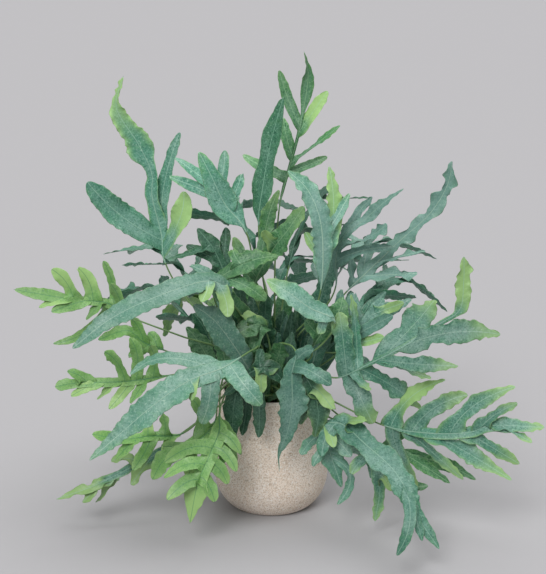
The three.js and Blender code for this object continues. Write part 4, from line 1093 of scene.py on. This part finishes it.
def settle(plan, number):
    # reads from the node where the frond stands, how far its stalk bows, how far the whole frond is
    # moved towards the viewer, and how far each lobe is bent, in the plant's own steps
    solid = solidPoints(plan["name"])
    depth = soil["top"] - rootstock["rootDepth"]
    inside = np.hypot(solid[:, 0], solid[:, 1]) < soil["crumbReach"]
    low = solid[inside & (abs(solid[:, 2] - depth) < 0.05)]
    spots = rootPlaces()
    spot = spots[np.argmin(np.linalg.norm(spots[:, :2] - low.mean(0)[:2], axis=1))]
    towards, step = plant["towards"], plant["riseStep"]
    risen = nearest(plant["risesMost"], lambda k: gap(solid, plan["midrib"][-1] + towards * k * step))
    raised = towards * (step * risen)
    route, foot = routeOf(plan, spot, raised)

    x, y, _ = plan["midrib"][0]
    aside, step = unit(np.array([-y, x, 0.0])), plant["bowStep"]
    half = mix(plant["stalkFoot"], plant["stalkTop"], 0.5)
    bowed = nearest(plant["bowsMost"], lambda k: abs(gap(solid, route[2] + aside * k * step) - half))
    route[2:-len(plan["midrib"])] += aside * (step * bowed)

    lobes = []
    for index, (share, width, way) in enumerate(plan["lobes"]):
        start, run = rootOf(route, foot, share)
        tip = way[-1] + raised
        long = np.linalg.norm(tip - start)
        over = (start + tip) / 2 - 0.1 * long * run + [0, 0, 0.07 * long]
        if len(way) > 1:
            over = way[0] + raised
        leant, step = plant["spread"] * long * math.sin(1.9 * index + number), plant["bendStep"]
        bent = nearest(plant["bendsMost"], lambda k: gap(solid, tip + towards * (leant + k * step)))
        forward = leant + bent * step
        tip = tip + towards * forward
        over = over + towards * plant["bendMiddle"] * forward
        if gap(solid, tip) <= plant["near"]:  # otherwise there was no room for this lobe
            lobes.append(lobeBy(index, width, start, run, over, tip, long))
    return {"route": route, "foot": foot, "lobes": lobes}


blade = {
    "across": [1, 0.94, 0.84, 0.7, 0.54, 0.38, 0.22, 0.09],  # from one margin to near the midrib
    "step": 1.8,  # the length of a face
    "ripple": 0.26,  # how far a strap swells and narrows, in waves of this length
    "waveLength": 25,
    "lobeWaves": (3, 8),
    "endWaves": (4, 13),
    "lastSection": 0.92,
    "endBlunt": 5,
    "sideBlunt": 8,
    "opening": 0.25,  # the share of its length in which a blade opens
    "webShare": 0.34,
    "leastHalf": 0.9,
    "leastRoot": 0.36,
    "flare": 0.8,
    "flareEnd": 0.34,
    "tiltMost": 0.45,
    "fold": 0.12,  # how far margins fold up, or are sunk where the blade isn't raised, and wave
    "sunk": 0.05,
    "lift": 0.17,
    "ruffle": 0.12,
    "toothLength": 10.5,
    "toothDepth": 0.085,
    "bayDepth": 0.12,
    "sway": 0.16,
    "notchMost": 0.4,
    "thickness": 0.34,  # to each side of the middle, and the raised midrib's more
    "ridge": 0.3,
    "ridgeHalf": 0.6,
    "veinGap": 6.2,
    "veinLean": 0.85,
    "veinRelief": 0.12,
    "shadeRange": (0.86, 1.14),
    "samples": 500,
    "stalkSides": 10,
    "stalkStep": 3.2,
    "stalkHalf": (1.45, 0.95, 0.25),  # at the soil, where the blade begins and at its tip
}


def strap(u, blunt):  # broad at its root, fullest in the middle, closing late to a blunt point
    return (0.66 + 0.34 * np.sin(np.pi * u)) * np.sqrt(np.clip(1 - u**blunt, 0, 1))


def widthsAt(widths, u):  # widths evenly spaced from root to tip, with an even rise between each two
    place = u * (len(widths) - 1)
    before = np.minimum(place.astype(int), len(widths) - 2)
    widths = np.array(widths)
    return mix(widths[before], widths[before + 1], smooth(place - before))


def bladeShell(middle, up, aside, u, half, raised, waving, toothed, ridged, look, chance):
    # A blade: at each station half a width to both sides, with a toothed margin, each margin folded
    # up a little where the blade is raised, and down where it isn't, and waving up and down, side
    # veins pressed in, thin at the margin and thick at the midrib. The lower face is the upper one
    # less the thickness.
    v = np.r_[blade["across"], 0, -np.array(blade["across"])[::-1]][None, :]
    hand, out = np.sign(v), np.abs(v)
    u, half, raised, waving, ridged = (values[:, None] for values in (u, half, raised, waving, ridged))
    along = lengths(middle)[:, None]
    tips, edges, paintedLightAndTone, wavy = look
    own = 3.7 * chance + 2.1 * (hand > 0)
    tooth = blade["toothLength"] * max(1, 0.5 + 0.5 * wavy)
    beat = 2 * np.pi * along / tooth + 2.2 * waver(0.05 * along, own) + own
    patchy = 0.55 + 0.45 * waver(0.07 * along, 2.9 * own)
    margin = (blade["toothDepth"] * patchy * np.sin(beat + 0.6 * np.sin(beat))
              + blade["bayDepth"] * waver(0.13 * along, 1.7 * own)
              + blade["sway"] * max(0, wavy - 1) * hand * np.sin(0.42 * beat))
    toothed = wavy * toothed[:, None] * (1 + 0.9 * u**4)
    across = v * (half * (1 + margin * toothed * out**2))
    ruffle = (0.4 + 0.6 * patchy) * np.sin(0.83 * beat + own) * toothed
    ruffle = blade["ruffle"] * np.minimum(half, 12) * ruffle
    vein = np.cos(2 * np.pi * (along - blade["veinLean"] * np.abs(across)) / blade["veinGap"])
    vein = vein * 4 * out * (1 - out) * np.minimum(toothed, 1)
    fold = mix(-blade["sunk"], blade["fold"], raised)
    high = (half * (fold * out**1.6 + blade["lift"] * waving * hand * out**2)
            + ruffle * out**3 - blade["veinRelief"] * vein)
    thick = blade["thickness"] * (1 - out**4) * (1 - 0.4 * u)
    thick = thick + blade["ridge"] * ridged * np.exp(-(across / blade["ridgeHalf"]) ** 2)
    thick = np.where(out < 1, thick, 0)

    # a notched end: the middle of the tip is drawn back, and the parts beside it reach on
    deep = blade["notchMost"] * half.max() * max(0, math.sin(17 * chance))
    reach = np.sin(np.pi * out) ** 2 * smooth((1 - u) / 0.1) * (1 + 0.5 * hand * math.sin(41 * chance))
    ahead = deep * smooth((u - 0.8) / 0.14) * (reach - 0.4)
    run = np.cross(aside, up)

    def face(offset):
        place = middle[:, None] + across[..., None] * aside[:, None]
        return place + (high + offset)[..., None] * up[:, None] + ahead[..., None] * run[:, None]

    def around(upper, lower):  # over the upper face and back under the lower one
        return np.concatenate([upper, lower[:, -2:0:-1]], axis=1)[:-1]

    def stack(*values):
        return np.stack([np.broadcast_to(value, across.shape) for value in values], -1)

    fresh = tips * smooth((u - (0.45 if tips < 1 else 0.02)) / 0.6) + edges * out**3 * (0.6 + 0.4 * patchy)
    # the frond's tone with its painted light and shade, varied at random from lobe to lobe
    paintedLightAndTone = paintedLightAndTone * mix(*blade["shadeRange"], chance)
    place, span = stack(u, v, fresh), stack(along * mm, across * mm, paintedLightAndTone)
    return ringShell(around(face(thick), face(-thick)), middle[0], middle[-1] - 0.4 * deep * run[-1],
                     around(place, place), around(span, span), 0)


def stations(length, step, gather=1.35):
    # shares from 0 to 1, closer together towards 1
    count = max(8, int(length / step))
    return 1 - (1 - np.linspace(0, 1, count + 1)) ** gather


def widening(share, wide, length, most, blunt, look):
    # half the width of a strap that swells and narrows in even waves, and the waves themselves
    waves = min(most[1], max(most[0], round(length / blade["waveLength"])))
    wave = np.cos(np.pi * share[0] * (waves - 1) / blade["lastSection"])
    ripple = blade["ripple"] * min(1, look[3]) / 2 * (1 - wave)
    return wide / 2 * strap(share[1], blunt) * (1 - ripple), wave


def lobeShell(plan, lobe, number, look, chance):
    # a side lobe: its root lies along the midrib, and it turns and widens into a strap
    u = stations(lobe["long"] * 1.05, blade["step"])
    middle, run = bendAt(lobe["start"], lobe["pull"], lobe["tip"], u)
    opened = smooth(u / blade["opening"])
    tilt = blade["tiltMost"] * math.sin(2.4 * lobe["index"] + 1.7 * number)
    up, aside = facing(run, plan["face"], tilt * opened + 0.16 * waver(4 * u, 5 * chance) * opened)
    rootUp, _ = facing(lobe["run"][None], plan["face"], np.zeros(1))
    hand = np.sign(np.cross(rootUp[0], run[0]) @ lobe["run"])
    free = smooth(u / 0.2)[:, None]
    aside, up = unit(mix(lobe["run"] * hand, aside, free)), unit(mix(rootUp[0], up, free))
    full, wave = widening((u, u), lobe["width"], lobe["long"], blade["lobeWaves"], blade["sideBlunt"], look)
    half = mix(lobe["rootHalf"], full * (1.04 - 0.2 * u), smooth(u / blade["flareEnd"]))
    return bladeShell(middle, up, aside, u, half, opened, opened * wave, opened, 1 - 0.7 * u, look, chance)


def spineShells(plan, spine, look, chance):
    # the stalk and the midrib as tapering tubes, and round the midrib the wing and the end lobe
    route, foot = spine["route"], spine["foot"]
    dense = np.linspace(0, 1, blade["samples"])
    run = lengths(splineAt(route, dense)[0])
    near, far = np.interp(foot, dense, run), run[-1]

    def sections(distances):
        t = np.interp(distances, run, dense)
        middle, direction = splineAt(route, t)
        return t, middle, *facing(direction, plan["face"], np.zeros(len(t)))

    thick, middling, thin = blade["stalkHalf"]
    t, middle, up, aside = sections(np.linspace(0, near, int(near / blade["stalkStep"])))
    stalk = tube(middle, up, aside, mix(thick, middling, t / foot), blade["stalkSides"], 1)

    t, middle, up, aside = sections(np.linspace(near - 2, far, int((far - near) / blade["stalkStep"])))
    share = (t - foot) / (1 - foot)
    midrib = tube(middle, up, aside, mix(middling, thin, smooth(share * 1.15)), blade["stalkSides"], 0)
    # the midrib takes the frond's tone with its painted light and shade
    midrib["span"][:, 2] = look[2]

    along = near + (far - near) * stations(far - near, blade["step"], 1.2)
    along[-1] = far
    t, middle, up, aside = sections(along)
    share = (t - foot) / (1 - foot)
    own = ownShapes.get(plan["name"], {})
    begins = own.get("start", plan["endStart"])
    u = np.clip((share - begins) / (1 - begins), 0, 1)
    opened, webbed = smooth(u / blade["opening"]), smooth(share / blade["opening"])
    full, wave = widening((share, u), plan["endWidth"], lengths(plan["midrib"])[-1], blade["endWaves"],
                          own.get("blunt", blade["endBlunt"]), look)
    full = full * widthsAt(own.get("widths", (1, 1)), u)
    full = full * (1 - own.get("pointed", 0) * smooth((u - 0.45) / 0.45))
    web = own.get("web", 1) * blade["webShare"] * plan["endWidth"]
    half = mix(mix(blade["leastHalf"], web, webbed), full, opened)
    toothed = np.maximum(opened, 0.4 * webbed) + own.get("ruffled", 0) * smooth((u - 0.55) / 0.3)
    look = (*own.get("fresh", look[:2]), *look[2:])
    end = bladeShell(middle, up, aside, u, half, opened, opened * wave, toothed, 0 * u, look, chance)
    return [stalk, midrib, end]


def rootWidths(plan, lobes):
    # half of each lobe's root: flaring into the web, and at most half the way to the next lobe
    hands = [np.sign(np.cross(lobe["run"], lobe["tip"] - lobe["start"]) @ plan["face"]) for lobe in lobes]
    web = ownShapes.get(plan["name"], {}).get("web", 1) ** 0.5
    for lobe, hand in zip(lobes, hands):
        near = [0.5 * np.linalg.norm(other["start"] - lobe["start"]) for other, side in zip(lobes, hands)
                if other is not lobe and side == hand]
        flared = blade["flare"] * lobe["width"] * web
        lobe["rootHalf"] = max(min([flared, *near]), blade["leastRoot"] * lobe["width"])


def makeFronds(leaves, stalkSkin):
    chance = np.random.default_rng(seed + 2)
    made = {}  # how many fronds of each node stand so far
    for number, plan in enumerate(fronds):
        name, tone = plan["name"], plan["tone"]
        spine = settle(plan, number)
        rootWidths(plan, spine["lobes"])
        # the third number of a look is the frond's tone with its painted light and shade
        *look, silvery = ownLooks.get(name, usual["look"])
        newLook = [*usual["newFresh"], *look[2:]]
        parts = spineShells(plan, spine, look, chance.random())
        for lobe in spine["lobes"]:
            luck = chance.random()
            new = lobe["long"] < usual["newLength"] and luck > usual["oldShare"]
            new = new or (name, lobe["index"]) in freshLobes
            parts.append(lobeShell(plan, lobe, number, newLook if new else look, luck))
        for part in parts:
            part["place"][:, 2] -= silvery
        made[name] = made.get(name, 0) + 1
        makePiece(f"{name}_frond_{made[name]}", parts, [leaves[tone], stalkSkin], name)
    print(len(fronds), "fronds made")


# Small leaves low among the stalks
undergrowth = {
    # at each node the direction they stand in and how far they reach at most
    "nodes": {"tuft_front_left": (224, 84), "tuft_front_right": (316, 98), "tuft_front": (272, 62),
              "inner_right": (346, 100), "inner_front": (255, 64), "tuft_back_left": (140, 62),
              "tuft_back_right": (35, 66)},
    "each": 7,
    "turn": 48,
    "nearest": 20,
    "height": (34, 140),  # above the soil
    "width": (13, 22),
    "arch": 6,
    "lobeLength": 1.5,  # the length and the width of side lobes, next to the end's width
    "lobeWidth": 0.62,
    "fresh": 0.3,
    # painted shade: the small leaves low among the stalks are all darkened, then varied at random
    "paintedLightAndTone": 0.76,
    "shadeRange": (0.75, 1.2),
}


def smallSpine(plan, spot):
    # the route and the lobes of a small leaf, which follows its plan as it is
    route, foot = routeOf(plan, spot, 0)
    lobes = []
    for index, (share, width, way) in enumerate(plan["lobes"]):
        (start, run), tip = rootOf(route, foot, share), way[-1]
        long = np.linalg.norm(tip - start)
        lobes.append(lobeBy(index, width, start, run, (start + tip) / 2 - 0.1 * long * run, tip, long))
    return {"route": route, "foot": foot, "lobes": lobes}


def makeUndergrowth(leaves, stalkSkin):
    chance = np.random.default_rng(seed + 3)
    tones = {plan["name"]: plan["tone"] for plan in fronds}
    spots = rootPlaces()
    for node, (angle, furthest) in undergrowth["nodes"].items():
        parts, tone = [], tones[node]
        for number in range(undergrowth["each"]):
            turn = undergrowth["turn"] * chance.uniform(-1, 1)
            reach = chance.uniform(undergrowth["nearest"], furthest)
            high = soil["top"] + chance.uniform(*undergrowth["height"])
            width = chance.uniform(*undergrowth["width"])
            plan = leaning(node, tone, angle + turn, reach, high, undergrowth["arch"], number % 3,
                           undergrowth["lobeLength"] * width)
            plan["endWidth"] = width
            narrow = undergrowth["lobeWidth"] * width
            plan["lobes"] = [(share, narrow, way) for share, _, way in plan["lobes"]]
            spine = smallSpine(plan, spots[chance.integers(len(spots))])
            fresh = undergrowth["fresh"] * chance.random(), undergrowth["fresh"] * chance.random()
            look = (*fresh, undergrowth["paintedLightAndTone"] * chance.uniform(*undergrowth["shadeRange"]), 1)
            rootWidths(plan, spine["lobes"])
            parts += spineShells(plan, spine, look, chance.random())
            parts += [lobeShell(plan, lobe, number, look, chance.random()) for lobe in spine["lobes"]]
        makePiece(node + "_small_leaves", parts, [leaves[tone], stalkSkin], node)


makeStudio()
group = leafGroup()
leaves = {tone: leafMaterial(tone, group) for tone in leafTones}
makeStonewarePot(stonewareMaterial())
makeNurseryPot(plasticMaterial())
print("pots made")
makeSoil(soilMaterial())
makeRootstock(furMaterial())
print("soil and rootstock made")
stalkSkin = stalkMaterial()
makeFronds(leaves, stalkSkin)
makeUndergrowth(leaves, stalkSkin)
print("small leaves made")
shown = [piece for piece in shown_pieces() if piece.type == "MESH"]
print(len(shown), "pieces,", sum(len(piece.data.loop_triangles) for piece in shown), "triangles")
